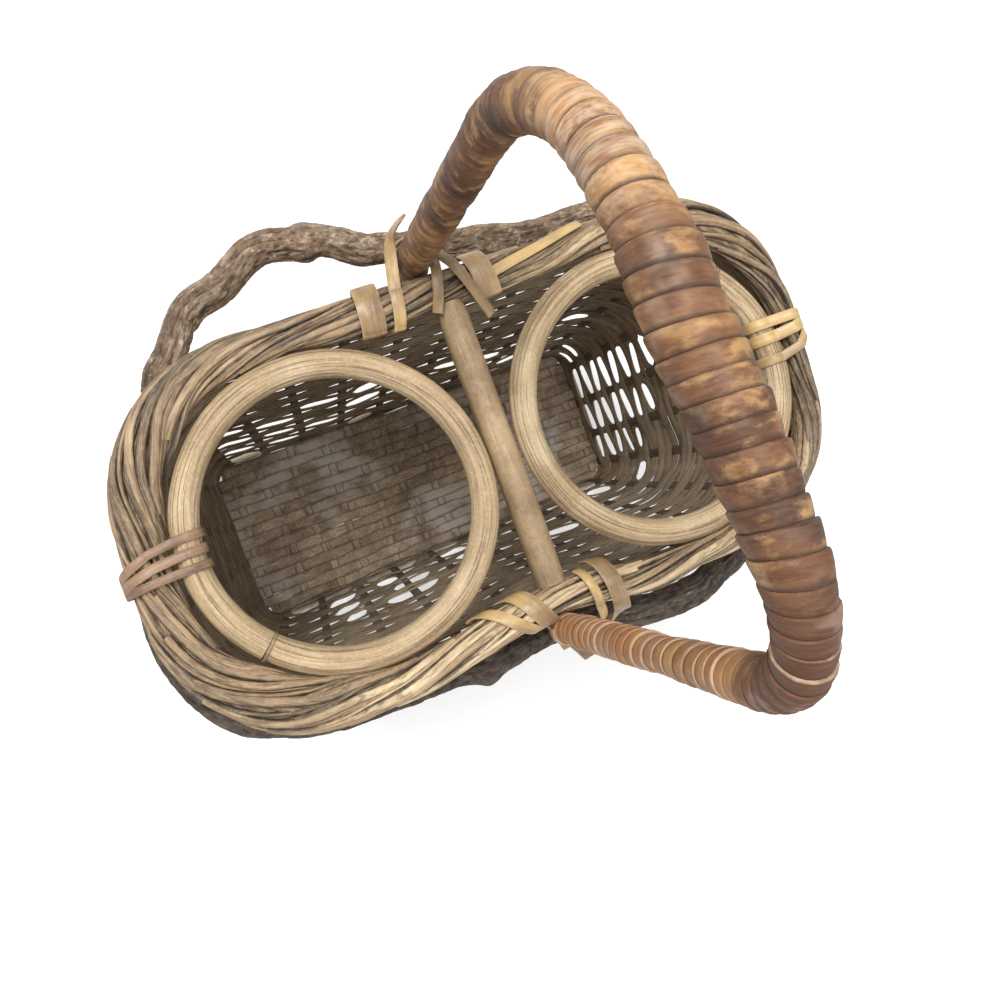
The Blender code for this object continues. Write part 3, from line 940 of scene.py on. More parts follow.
# Slits between the open courses. Each has the course below it, counted up from the
# floor, the places where it starts and ends, counted in bays from the middle of the
# right end, and how far its edges part, in millimetres.
slits = (
    (0, -1.5, -0.5, 5.0),
    (0, -0.5, 0.5, 7.0),
    (0, 0.5, 1.5, 6.5),
    (1, -1.5, -0.5, 6.0),
    (1, -0.5, 0.5, 7.5),
    (1, 0.5, 1.5, 7.0),
    (2, -1.4, -0.5, 5.0),
    (2, -0.5, 0.5, 7.0),
    (2, 0.5, 1.5, 7.0),
    (3, -1.4, -0.5, 4.0),
    (3, -0.5, 0.5, 6.5),
    (3, 0.5, 1.5, 7.0),
    (4, -1.3, -0.6, 3.5),
    (4, -0.5, 0.5, 6.0),
    (4, 0.5, 1.5, 7.0),
    (5, -0.5, 0.4, 5.0),
    (5, 0.5, 1.5, 6.5),
    (6, -0.4, 0.4, 4.5),
    (6, 0.5, 1.4, 5.5),
    (7, 0.6, 1.4, 4.5),
    (0, 1.5, 2.3, 4.0),
    (1, 1.6, 2.4, 4.0),
    (0, 16.6, 18.4, 13.0),
    (0, 18.6, 20.2, 12.0),
    (0, 20.4, 21.3, 7.0),
    (2, 17.6, 18.4, 8.0),
    (2, 18.8, 19.5, 7.0),
    (2, 20.4, 21.3, 7.0),
    (4, 17.7, 18.4, 7.0),
    (4, 19.1, 20.1, 8.0),
    (4, 20.7, 21.4, 6.0),
    (6, 17.9, 18.5, 7.0),
    (6, 18.8, 20.1, 8.0),
    (0, 23.2, 23.8, 5.0),
    (0, 24.5, 25.5, 8.0),
    (2, 22.6, 23.4, 6.0),
    (2, 24.6, 25.4, 7.0),
    (4, 23.5, 24.5, 6.0),
    (4, 25.6, 26.4, 6.0),
    (6, 22.5, 23.5, 6.0),
    (0, 10.5, 11.5, 9.0),
    (0, 7.6, 8.4, 5.0),
    (1, 9.5, 10.4, 3.0),
    (2, 10.6, 11.5, 3.5),
    (2, 8.5, 9.5, 3.5),
    (3, 9.6, 10.4, 3.0),
    (4, 10.5, 11.5, 3.5),
    (4, 7.5, 8.5, 6.0),
    (5, 9.5, 10.5, 3.5),
    (6, 10.6, 11.4, 3.5),
    (6, 8.5, 9.5, 4.0),
    (6, 7.5, 8.3, 7.0),
    (2, 3.5, 4.5, 4.0),
    (4, 4.5, 5.5, 5.0),
    (6, 2.6, 3.4, 4.0),
    (5, 5.5, 6.4, 5.0),
)
# How far a weaver under a slit leans in, and one over it leans out, as a share of the
# slit's height.
slit_lean = 0.12


def courses():
    """The middle height and the pitch of each woven course, wide low down and narrow
    above."""
    made = []
    height = wall_foot + wall_band / 2
    while height < wall_top - close_pitch / 3:
        pitch = wall_band + opening_height if height < open_top else close_pitch
        made.append((height, pitch))
        height += pitch
    return made


def parting(course, share):
    """How far the edges part above a course, at a share of the way round."""
    place = share * stake_count
    widest = 0.0
    for row, first, last, size in slits:
        if row != course:
            continue
        for turned in (0, stake_count):
            off = abs(2 * (place - turned) - first - last) / (last - first)
            if off < 1:
                widest = max(widest, size / 1000 * math.sqrt(1 - off**2))
    return widest


def make_wall():
    """Two flat weavers to a course, one above the other, in and out of the stakes in
    turn. Between the low courses the weavers part here and there in long slits."""
    weave = Weaving()
    steps = stake_count * bay_steps
    for number, (height, pitch) in enumerate(courses()):
        drift = wave(100 + number, (2, 3, 5, 9))
        cover = open_cover if pitch > close_pitch else close_cover
        for strand in (0, 1):
            wobble = wave(200 + 2 * number + strand, (7, 13, 19, 28))
            swell = wave(400 + 2 * number + strand, (4, 9, 15, 31))
            shade = wave(600 + 2 * number + strand, (2, 5, 11, 17))
            base = luck.uniform(0.2, 0.8)
            points, outs, widths, tones = [], [], [], []
            for step in range(steps):
                share = step / steps
                above, below = parting(number, share), parting(number - 1, share)
                gap, away = (above, -1) if strand else (below, 1)
                left = max(0, -wall_spot(share, height, 0)[1].x)
                tall = pitch / 2 * (cover + 0.5 * left)
                cut = min(gap / 2 + (tall - pitch / 2) / 2 * min(1, gap / 0.001), tall * 0.7)
                swing = math.cos(math.pi * (stake_count * share - 0.5 + number + strand))
                swing *= weave_swing * (1 - 0.7 * left)
                raised = weave_drift * drift(share) + weave_wobble * wobble(share)
                raised += pitch / 4 * (2 * strand - 1)
                raised += away * cut / 2
                width = (tall - cut) * (1 + 0.05 * swell(share))
                raised = max(raised, weave_foot + width / 2 - height)
                inset = weave_inset - swing + slit_lean * (above - below)
                point, outward = wall_spot(share, height + raised, inset)
                points.append(point)
                outs.append(outward)
                widths.append(width)
                tones.append(clamp(base + 0.35 * shade(share)))
            weave.lay(points, outs, widths, weaver_thickness, flat_section, tones, closed=True)
    weave.make("wall_weave", wall_finish, "weave_grey", "woven_wall")


def make_stakes():
    """Flat stakes in the middle of the weave, from the floor up into the rim."""
    low, steps = floor_thickness / 2, 12
    for number in range(stake_count):
        weave = Weaving()
        share = (number + 0.5) / stake_count
        lean = luck.uniform(-0.0012, 0.0012)
        points, outs, widths = [], [], []
        for step in range(steps + 1):
            height = low + (ring_height - floor_thickness - low) * step / steps
            point, outward = wall_spot(share + lean * (step / steps - 0.5), height, weave_inset)
            points.append(point)
            outs.append(outward)
            widths.append(stake_width * (1 + 0.1 * math.sin(step * 1.3 + number)))
        weave.lay(points, outs, widths, stake_thickness, flat_section, luck.uniform(0.1, 0.9))
        name = f"{number + 1:02d}"
        weave.make(f"wall_stake_{name}", stake_finish, "stake_brown", f"stake_{name}")


def floor_reach(across, half_along, half_across, inset):
    """Half the floor's size one way, at a distance from its middle line the other way."""
    past = abs(across) - (half_across - inset - floor_corner)
    straight = half_along - inset - floor_corner
    if past <= 0:
        return straight + floor_corner
    return straight + math.sqrt(max(floor_corner**2 - past**2, 0))


def floor_spot(x, y, height):
    """A point of the floor, drawn in where the front side is."""
    return Vector((x, y + taper(x, y), height))


def make_floor():
    """Flat strips along the basket, woven over and under the ribs that cross it."""
    weave = Weaving()
    middle = floor_thickness / 2
    reach = floor_half_length - floor_end_margin
    spacing = 2 * reach / (floor_rib_count - 1)
    for number in range(floor_rib_count):
        x = -reach + spacing * number
        half = floor_reach(x, floor_half_width, floor_half_length, floor_rib_inset)
        places = [half * (step / 6 - 1) for step in range(13)]
        bends = [0.0016 * math.sin(y * 70 + 2 * number) for y in places]
        points = [floor_spot(x + bend, y, middle) for bend, y in zip(bends, places)]
        tone = luck.uniform(0.3, 0.9)
        weave.lay(points, [up] * 13, floor_rib_width, floor_rib_thickness, flat_section, tone)
    rows = int((floor_half_width - floor_side_margin) / floor_strip_pitch)
    count = 97
    for row in range(-rows, rows + 1):
        y = row * floor_strip_pitch
        half = floor_reach(y, floor_half_length, floor_half_width, floor_strip_inset)
        wobble = wave(900 + row, (2, 3, 5))
        shade = wave(950 + row, (3, 5, 8, 13))
        slide = wave(980 + row, (1, 2, 4))
        base = luck.uniform(0.2, 0.75)
        points, tones, widths = [], [], []
        for step in range(count):
            part = step / (count - 1)
            x = -half + 2 * half * part
            phase = math.pi * ((x + reach) / spacing + row) + 0.5 * slide(part)
            swing = floor_swing * math.cos(phase)
            squeeze = 1 - (taper(x, -floor_half_width) / floor_half_width if y < 0 else 0)
            points.append(floor_spot(x, y + 0.0007 * wobble(part), middle + swing))
            widths.append(floor_strip_width * squeeze * (1 + 0.12 * slide(part)))
            tones.append(clamp(base + 0.75 * shade(part)))
        weave.lay(points, [up] * count, widths, floor_strip_thickness, flat_section, tones)
    for level, inset in floor_borders:
        points, outs = [], []
        for step in range(200):
            half_length, half_width = floor_half_length - inset, floor_half_width - inset
            point, outward = outline(half_length, half_width, floor_corner, step / 200)
            points.append(floor_spot(point.x, point.y, level))
            outs.append(outward)
        tone = luck.uniform(0.3, 0.6)
        sizes = floor_border_width, floor_border_depth
        weave.lay(points, outs, *sizes, half_round_section, tone, closed=True)
    weave.make("floor_weave", floor_finish, "weave_dark", "woven_floor")


# Rim

# How far the loose bundle reaches outward and inward of its line, in millimetres.
rim_reach = (
    (0.0, 0.4, -5.6),
    (0.024, 1.4, -6.2),
    (0.0787, 6.5, -8.5),
    (0.12, 7.4, -8.0),
    (0.1575, 6.0, -5.6),
    (0.20, 5.0, -8.0),
    (0.25, 5.0, -8.0),
    (0.30, 5.0, -8.0),
    (0.3425, 4.4, -5.6),
    (0.38, 5.0, -9.0),
    (0.4213, 6.0, -11.0),
    (0.46, 7.5, -9.0),
    (0.5, 9.0, -5.4),
    (0.54, 9.0, -8.0),
    (0.5787, 8.5, -11.0),
    (0.62, 7.5, -10.0),
    (0.6575, 7.2, -5.6),
    (0.70, 4.8, -7.5),
    (0.75, 3.6, -6.8),
    (0.80, 5.0, -6.5),
    (0.8425, 2.4, -5.4),
    (0.88, 1.2, -8.0),
    (0.9213, 0.4, -9.0),
    (0.96, -0.8, -7.5),
    (1.0, 0.4, -5.6),
)
rim_outer = [(place, out / 1000) for place, out, _ in rim_reach]
rim_inner = [(place, back / 1000) for place, _, back in rim_reach]

# Painted light and shade round the mouth: how much paler or darker the strands are, from
# the right end.
rim_painted_shading = (
    (0.0, -0.40),
    (0.12, -0.42),
    (0.22, -0.22),
    (0.34, -0.30),
    (0.44, -0.26),
    (0.52, -0.36),
    (0.60, -0.22),
    (0.68, -0.02),
    (0.76, 0.22),
    (0.88, -0.04),
    (1.0, -0.40),
)

# The tones that the skin strands are picked from.
strand_tones = (0.02, 0.15, 0.35, 0.55, 0.75, 0.9, 1.0)


def rim_section(share):
    """The bundle's own middle, its outward direction, half width and half height."""
    centre, _, outward = rim_frame(share)
    out = blend(rim_outer, share % 1)
    back = blend(rim_inner, share % 1)
    half = (out - back) / 2
    tall = 0.0050 + max(0.0062 - half, 0) * 0.7
    return centre + outward * (out + back) / 2, outward, half, tall


def bundle_place(share, turn, room=1.0, lift=0.0):
    """A place on the bundle by its turn, from outward over the top to inward, and the
    way out of the bundle there."""
    centre, outward, half, tall = rim_section(share)
    across = outward * math.cos(turn)
    raised = up * math.sin(turn)
    place = centre + across * (half * room + lift) + raised * (tall * room + lift)
    return place, (across / half + raised / tall).normalized()


def lay_strand(weave, course, width, depth, tone, closed=False):
    """A half-round strand through places, each a point and the way out of the bundle."""
    points = [place for place, _ in course]
    outs = [way for _, way in course]
    weave.lay(points, outs, width, depth, half_round_section, tone, closed)


# Loose strands across the bundle: where they start and end round the mouth, their
# turn there in degrees, width in millimetres and tone.
loose_strands = (
    (0.500, 0.628, 62, 196, 3.0, 0.55),
    (0.508, 0.622, 84, 206, 2.6, 0.85),
    (0.516, 0.640, 100, 200, 2.8, 0.35),
    (0.528, 0.648, 70, 188, 2.4, 0.70),
    (0.540, 0.668, 42, 170, 3.0, 0.50),
    (0.560, 0.690, 20, 150, 2.6, 0.95),
    (0.590, 0.730, 12, 140, 3.0, 0.98),
    (0.625, 0.760, 20, 150, 2.4, 0.62),
    (0.650, 0.795, 8, 132, 2.8, 1.0),
    (0.690, 0.800, 35, 165, 2.2, 0.80),
    (0.770, 0.880, 20, 150, 2.8, 0.95),
    (0.800, 0.905, 48, 170, 2.2, 0.60),
    (0.835, 0.950, 12, 140, 2.6, 0.9),
    (0.935, 1.030, 28, 160, 2.2, 0.30),
    (0.985, 1.080, 15, 150, 2.2, 0.62),
    (0.040, 0.160, 22, 165, 2.6, 0.75),
    (0.085, 0.215, 10, 145, 3.0, 0.95),
    (0.130, 0.250, 35, 168, 2.4, 0.45),
    (0.205, 0.330, 16, 150, 2.8, 1.0),
    (0.255, 0.365, 40, 172, 2.4, 0.70),
    (0.300, 0.425, 12, 140, 2.8, 0.85),
    (0.350, 0.470, 30, 160, 3.0, 0.55),
    (0.390, 0.500, 14, 150, 2.6, 0.92),
    (0.440, 0.545, 28, 165, 2.6, 0.40),
)


def make_rim():
    """A loose bundle of half-round strands that winds slowly round the mouth."""
    groups = [Weaving() for _ in range(6)]
    for strand in range(skin_strands):
        push = wave(1000 + strand, (2, 3, 5, 8))
        lift = wave(1100 + strand, (2, 4, 7))
        slip = wave(1200 + strand, (1, 2, 3, 5))
        shade = wave(1300 + strand, (1, 3, 5))
        width = luck.choice(strand_widths)
        own = luck.choice(strand_tones)
        course, tones, widths = [], [], []
        for step in range(rim_steps):
            share = step / rim_steps
            turn = 2 * math.pi * (rim_turns * share + strand / skin_strands) + 0.45 * slip(share)
            room = 0.83 + 0.15 * push(share)
            course.append(bundle_place(share, turn, room, 0.0004 * lift(share)))
            tone = own - 0.06 + 0.2 * shade(share) + blend(rim_painted_shading, share)
            tones.append(clamp(tone))
            widths.append(width * (1 + 0.15 * slip(share)))
        group = groups[strand % len(groups)]
        lay_strand(group, course, widths, strand_thickness, tones, closed=True)
    for number, (first, last, start, end, width, tone) in enumerate(loose_strands):
        steps = 56
        sway = wave(1600 + number, (1, 2))
        course, tones = [], []
        for step in range(steps + 1):
            part = step / steps
            share = first + (last - first) * part
            turn = math.radians(start + (end - start) * part) + 0.12 * sway(part)
            lift = 0.0008 * math.sin(math.pi * part) - 0.0006
            course.append(bundle_place(share % 1, turn, 1.0, lift))
            tones.append(clamp(tone + blend(rim_painted_shading, share % 1)))
        width *= loose_widening / 1000
        lay_strand(groups[number % len(groups)], course, width, loose_thickness, tones)
    for number, group in enumerate(groups):
        name = f"rim_winding_{number + 1}"
        group.make(name, rim_finish, "rim_straw", f"rim_strand_{number + 1}")
    core = Weaving()
    for strand in range(under_strands):
        slip = wave(1400 + strand, (2, 3, 5))
        course = []
        for step in range(rim_steps):
            share = step / rim_steps
            turn = 2 * math.pi * (-under_turns * share + strand / under_strands)
            turn += 0.4 * slip(share)
            course.append(bundle_place(share, turn, under_room))
        # Toned nearly black: painted shade showing in the gaps between the skin strands.
        tone = 0.12 * luck.random()
        lay_strand(core, course, under_width, under_thickness, tone, closed=True)
    core.make("rim_inner_strands", rim_finish, "rim_tan", "rim_core")


# Rings and divider


def make_ring(name, side, node):
    """A grooved cane ring with a step at its seam. The left one has a thin wire-like
    ridge over its seam."""
    weave = Weaving()
    start = seam_angle if side < 0 else seam_angle + math.pi
    opening = fit_gap / ring_radius
    uneven = wave(1503 + side, (2, 3, 5, 8))
    centre = Vector((side * ring_centre, 0, ring_height))
    points, outs, sizes = [], [], []
    for number in range(ring_steps):
        part = number / (ring_steps - 1)
        angle = start + opening / 2 + (2 * math.pi - opening) * part
        radial = Vector((math.cos(angle), math.sin(angle), 0))
        wide = cane_width * (cane_share + cane_wander * uneven(part))
        if side < 0 and part < seam_step:
            wide *= seam_share
        points.append(centre + radial * (ring_bore / 2 + wide / 2))
        outs.append(radial)
        sizes.append(wide)
    tone = 0.60 if side < 0 else 0.68
    weave.lay(points, outs, sizes, sizes, grooved_section(44, 3.0 + side, groove_depth), tone)
    if side < 0:
        radial = Vector((math.cos(start), math.sin(start), 0))
        ahead = Vector((-radial.y, radial.x, 0))
        loop, ways = [], []
        for step in range(21):
            angle = math.radians(-35 + 250 * step / 20)
            way = radial * math.cos(angle) + up * math.sin(angle)
            bow = ahead * 0.0009 * math.sin(math.pi * step / 20)
            loop.append(centre + radial * ring_radius + way * (cane_width / 2 + 0.0001) + bow)
            ways.append(way)
        weave.lay(loop, ways, seam_wire_width, seam_wire_thickness, round_section(8), 0.0)
    weave.make(name, cane_finish, "cane_pale", node)


def make_divider():
    """The split cane between the rings, rounded above and flat below."""
    section = [(-0.92, -1.0, 0.0), (0.0, -1.0, 0.0), (0.92, -1.0, 0.0), (1.0, -0.75, 0.0)]
    for number in range(1, 12):
        angle = math.pi * number / 12
        section.append((math.cos(angle), -0.45 + 1.45 * math.sin(angle) ** 0.9, 0.0))
    section.append((-1.0, -0.75, 0.0))
    weave = Weaving()
    points, widths = [], []
    for step in range(41):
        part = step / 40
        ease = min(1.0, 0.80 + 0.5 * math.sqrt(max(1 - part, 0) * 6)) if part > 0.9 else 1.0
        widths.append(divider_width * (1.035 + 0.012 * math.sin(part * 9)) * ease)
        y = divider_front + (divider_rear - divider_front) * part
        points.append(Vector((0.0002 * math.sin(part * 6), y, ring_height)))
    weave.lay(points, [up] * 41, widths, divider_height, tuple(section), 0.6)
    weave.make("divider_cane", divider_finish, "cane_pink", "divider_rod")


# Handle

# The corners of the pole's line in millimetres from the middle of the ring plane, each
# with its bend's radius.
pole_corners = (
    ((-7.2, 59.9, -70), 0),
    ((-7.2, 71.0, 0), 60),
    ((4.6, 75, 147), 61),
    ((-0.6, 9, 155.2), 60),
    ((1.5, -61.2, 163.5), 28),
    ((0, -65.4, 0), 60),
    ((0, -51.9, -70), 0),
)
# Outer radius of the wound handle in millimetres, at shares of the pole's length.
wound_radius = (
    (0.0, 6.4),
    (0.15, 6.5),
    (0.30, 6.55),
    (0.38, 6.7),
    (0.41, 7.1),
    (0.43, 7.3),
    (0.46, 8.05),
    (0.50, 8.05),
    (0.52, 7.75),
    (0.54, 7.2),
    (0.555, 6.9),
    (0.59, 6.6),
    (0.62, 6.5),
    (0.66, 6.1),
    (0.72, 5.6),
    (0.78, 6.0),
    (0.82, 6.1),
    (0.86, 5.8),
    (0.92, 5.3),
    (1.0, 5.6),
)
# How far apart the turns are, and how often a turn shows a pale lip, along the handle.
# A lip is partly the peel's paler cut edge and partly painted highlight.
turn_pitch = (
    (0.0, 0.8),
    (0.25, 0.85),
    (0.36, 1.0),
    (0.62, 0.92),
    (0.72, 0.85),
    (0.8, 1.25),
    (1.0, 1.2),
)
lip_chance = ((0.0, 0.1), (0.35, 0.1), (0.58, 0.15), (0.64, 0.6), (1.0, 0.5))
# How much the turns stand out from one another along the handle.
turn_relief = (
    (0.0, 0.5),
    (0.26, 0.7),
    (0.34, 1.35),
    (0.5, 1.25),
    (0.6, 1.0),
    (0.7, 0.75),
    (1.0, 1.0),
)
# The tone of the peel along the handle.
peel_tone = (
    (0.0, 0.5),
    (0.25, 0.35),
    (0.36, 0.85),
    (0.43, 0.75),
    (0.5, 0.38),
    (0.565, 0.35),
    (0.585, 0.1),
    (0.64, 0.0),
    (0.69, 0.45),
    (0.86, 0.8),
    (1.0, 0.75),
)
# How much the peel is scuffed pale along the handle.
peel_scuff = (
    (0.0, 0.1),
    (0.3, 0.05),
    (0.37, 0.5),
    (0.44, 0.05),
    (0.68, 0.05),
    (0.75, 0.15),
    (1.0, 0.25),
)
# How smoky the peel is along the handle.
peel_smoke = (
    (0.0, 0.7),
    (0.3, 0.7),
    (0.36, 0.3),
    (0.42, 0.4),
    (0.46, 0.65),
    (0.565, 0.65),
    (0.59, 1.0),
    (0.64, 1.0),
    (0.69, 0.3),
    (0.84, 0.2),
    (1.0, 0.15),
)


def mm(x, y, z):
    """A point by its place from the middle of the ring plane, in millimetres."""
    return Vector((x / 1000, y / 1000, ring_height + z / 1000))


def bent_line(corners, steps):
    """Points along straight runs joined by arcs."""
    places = [mm(*place) for place, _ in corners]
    points = [places[0]]
    for number in range(1, len(places) - 1):
        corner, radius = places[number], corners[number][1] / 1000
        back = (places[number - 1] - corner).normalized()
        ahead = (places[number + 1] - corner).normalized()
        turn = math.pi - back.angle(ahead)
        middle = (back + ahead).normalized()
        centre = corner + middle * radius / math.cos(turn / 2)
        first = corner + back * radius * math.tan(turn / 2) - centre
        axis = first.cross(middle * -1)
        for step in range(steps + 1):
            points.append(centre + Matrix.Rotation(turn * step / steps, 3, axis) @ first)
    points.append(places[-1])
    return points


class Line:
    """A line that can be read at any distance along it."""

    def __init__(self, points):
        self.points = np.array([tuple(p) for p in points])
        steps = np.linalg.norm(np.diff(self.points, axis=0), axis=1)
        self.travel = np.concatenate([[0], np.cumsum(steps)])
        self.length = self.travel[-1]

    def at(self, distance):
        return Vector([np.interp(distance, self.travel, self.points[:, axis]) for axis in range(3)])

    def way(self, distance):
        return (self.at(distance + 0.002) - self.at(distance - 0.002)).normalized()

    def around(self, distance, angle, radius):
        """A place round the line, and the way out of it."""
        ahead = self.way(distance)
        sideways = ahead.cross(Vector((1, 0, 0))).normalized()
        way = sideways.cross(ahead) * math.cos(angle) + sideways * math.sin(angle)
        return self.at(distance) + way * radius, way


# Where the grip bows sideways, above this height over the rings: the middle of each bow
# across the basket, its spread and how far it goes.
grip_height = 0.12
grip_bows = ((-0.008, 0.018, 0.0009), (0.040, 0.014, -0.0010))
# A turn's section: a share of the way along the handle, a share of the peel's
# thickness, how near it is to the free edge, and how much painted shade it takes where it
# tucks under the next turn's free edge.
peel_section = (
    (-0.5, 0.0, 0.8, 1.0),
    (-0.5, 0.70, 1.0, 0.1),
    (-0.47, 0.94, 0.9, 0.0),
    (-0.40, 1.04, 0.2, 0.0),
    (-0.22, 1.08, 0.0, 0.0),
    (0.0, 1.05, 0.0, 0.05),
    (0.10, 0.98, 0.0, 0.8),
    (0.26, 0.80, 0.0, 1.0),
    (0.5, 0.55, 0.0, 1.0),
    (0.5, 0.0, 0.0, 1.0),
)


def make_wrap():
    """Turns of peel wound from foot to foot, each laid over the last one's edge."""
    line = Line(bent_line(pole_corners, 24))
    low = ring_height - peel_foot
    inside = [d for d in np.linspace(0, line.length, 2000) if line.at(d).z > low]
    start, finish = inside[0], inside[-1]
    places = [0.0]
    for turn in range(peel_turns):
        share = turn / peel_turns
        places.append(places[-1] + blend(turn_pitch, share) * luck.uniform(0.84, 1.16))
    scale = (finish - start) / places[-1]
    places = [start + place * scale for place in places]
    tones = []
    lips = []
    bumps = []
    for place in places:
        share = (place - start) / (finish - start)
        tones.append(clamp(blend(peel_tone, share) + luck.uniform(-0.42, 0.42)))
        lips.append(luck.uniform(0.6, 1.0) if luck.random() < blend(lip_chance, share) else 0.1)
        bumps.append(luck.uniform(-0.00025, 0.00032))
    sides = len(peel_section)
    points, runs, faces = [], [], []
    values = {"tone": [], "edge": [], "crease_shade": [], "scuff": [], "smoke": []}
    steps = (peel_turns - 1) * turn_steps + 1
    widths, travels = [], []
    for step in range(steps):
        number, part = divmod(step, turn_steps)
        part /= turn_steps
        after, later = min(number + 1, peel_turns), min(number + 2, peel_turns)
        begin = places[number] + (places[after] - places[number]) * part
        pitch = (places[after] - places[number]) * (1 - part)
        pitch += (places[later] - places[after]) * part
        width = pitch + peel_lap
        rows = bumps, tones, lips
        bump, tone, lip = (row[number] * (1 - part) + row[after] * part for row in rows)
        for across, height, edge, crease_shade in peel_section:
            distance = min(max(begin + width * (across + 0.5), start - 0.001), finish + 0.001)
            radius = blend(wound_radius, distance / line.length) / 1000 - peel_sink + bump
            relief = blend(turn_relief, distance / line.length)
            radius += peel_lean * relief * (0.3 - across)
            radius += peel_thickness * (peel_crown + relief * (height - peel_crown))
            place, _ = line.around(distance, -2 * math.pi * part, radius)
            if place.z > ring_height + grip_height:
                for middle, spread, shift in grip_bows:
                    place.x += shift * math.exp(-(((place.y - middle) / spread) ** 2))
            points.append(tuple(place))
            values["tone"].append(tone)
            values["edge"].append(edge * lip)
            # Painted shade, deeper where the turns stand out more.
            values["crease_shade"].append(crease_shade * relief)
            share = (distance - start) / (finish - start)
            values["scuff"].append(blend(peel_scuff, share))
            values["smoke"].append(blend(peel_smoke, share))
        widths.append(width)
        travels.append(step * 2 * math.pi * peel_run / turn_steps)
    for step in range(steps - 1):
        for side in range(sides):
            after = (side + 1) % sides
            a, b = step * sides, (step + 1) * sides
            faces.append((a + side, a + after, b + after, b + side))
            v0, v1 = (
                peel_section[k][0] * widths[step] + peel_section[k][1] * 0.001 for k in (side, after)
            )
            u0, u1 = travels[step], travels[step + 1]
            runs.extend(((u0, v0), (u0, v1), (u1, v1), (u1, v0)))
    for step, order in ((0, reversed(range(sides))), (steps - 1, range(sides))):
        order = list(order)
        faces.append(tuple(step * sides + side for side in order))
        runs.extend((peel_section[side][0] * 0.01, peel_section[side][1] * 0.001) for side in order)
    make_piece("handle_winding", points, faces, runs, values, peel_finish, "peel_honey", "handle_wrap")


# Vines

# How deep the bark's grooves go, as a share of the vine's radius.
bark_groove = 0.2


def make_vine(name, side, drops, stations, thicknesses, knots, finish, node, seed):
    """A bark vine along a long side, grooved and knotted. The tables go by distance
    along the wall: how far below the rings, how far off the wall, and how thick."""
    first, last = stations[0][0], stations[-1][0]
    sides, count = 44, 340
    points = []
    for number in range(count):
        distance = first + (last - first) * number / (count - 1)
        height = ring_height - blend(drops, distance)
        share = long_side_share(distance, side, *wall_sizes(wall_level(height)))
        reach = fit_gap + blend(thicknesses, distance) + blend(stations, distance)
        points.append(wall_spot(share, height, -reach)[0])
    line = np.array([tuple(p) for p in points])
    for _ in range(12):
        line[1:-1] = (line[:-2] + line[2:] + 2 * line[1:-1]) / 4
    along = np.gradient(line, axis=0)
    along /= np.linalg.norm(along, axis=1)[:, None]
    travel = np.concatenate([[0], np.cumsum(np.linalg.norm(np.diff(line, axis=0), axis=1))])
    vertices, tones, edges = [], [], []
    for number in range(count):
        distance = first + (last - first) * number / (count - 1)
        base = blend(thicknesses, distance)
        centre, ahead = Vector(line[number]), Vector(along[number])
        outward = ahead.cross(up).normalized()
        upward = outward.cross(ahead).normalized()
        close = min(1.0, (number + 1) / 5, (count - number) / 5)
        run = travel[number]
        for corner in range(sides):
            angle = 2 * math.pi * corner / sides
            way = outward * math.cos(angle) + upward * math.sin(angle)
            ring = Vector((math.cos(angle), math.sin(angle), 0))
            twist = Vector((math.cos(angle + run * 14), math.sin(angle + run * 14), 0))
            slow = noise.noise(ring * 1.3 + Vector((0, 0, run * 28 + seed)))
            groove = noise.noise(twist * 5.0 + Vector((seed, 0, run * 60)))
            flake = noise.noise(twist * 8.0 + Vector((0, seed, run * 150)))
            fine = noise.noise(twist * 20.0 + Vector((0, seed, run * 420)))
            cut = max(0.0, 0.25 - abs(groove)) / 0.25
            radius = base * (1 + 0.12 * slow + 0.06 * flake + 0.035 * fine)
            radius -= bark_groove * cut**2 * base
            for place, size, spread, direction in knots:
                near = math.exp(-(((distance - place) / spread) ** 2))
                facing = max(0.0, math.cos(angle - direction)) ** 2
                radius += size * near * (0.35 + 0.65 * facing)
            vertices.append(tuple(centre + way * radius * (0.35 + 0.65 * math.sqrt(close))))
            tones.append(clamp(0.5 + 0.55 * slow + 0.5 * flake + 0.3 * fine))
            edges.append(min(1.0, cut * 0.95 + max(0, -fine) * 0.4))
    faces, runs = [], []
    for row in range(count - 1):
        for corner in range(sides):
            after = (corner + 1) % sides
            a, b = row * sides, (row + 1) * sides
            faces.append((a + corner, a + after, b + after, b + corner))
            v0, v1 = corner * 0.0008, (corner + 1) * 0.0008
            u0, u1 = travel[row], travel[row + 1]
            runs.extend(((u0, v0), (u0, v1), (u1, v1), (u1, v0)))
    for row, order in ((0, reversed(range(sides))), (count - 1, range(sides))):
        order = list(order)
        faces.append(tuple(row * sides + corner for corner in order))
        runs.extend((0.001 * math.cos(c), 0.001 * math.sin(c)) for c in order)
    values = {"tone": tones, "edge": edges}
    make_piece(name, vertices, faces, runs, values, finish, "vine_bark", node)


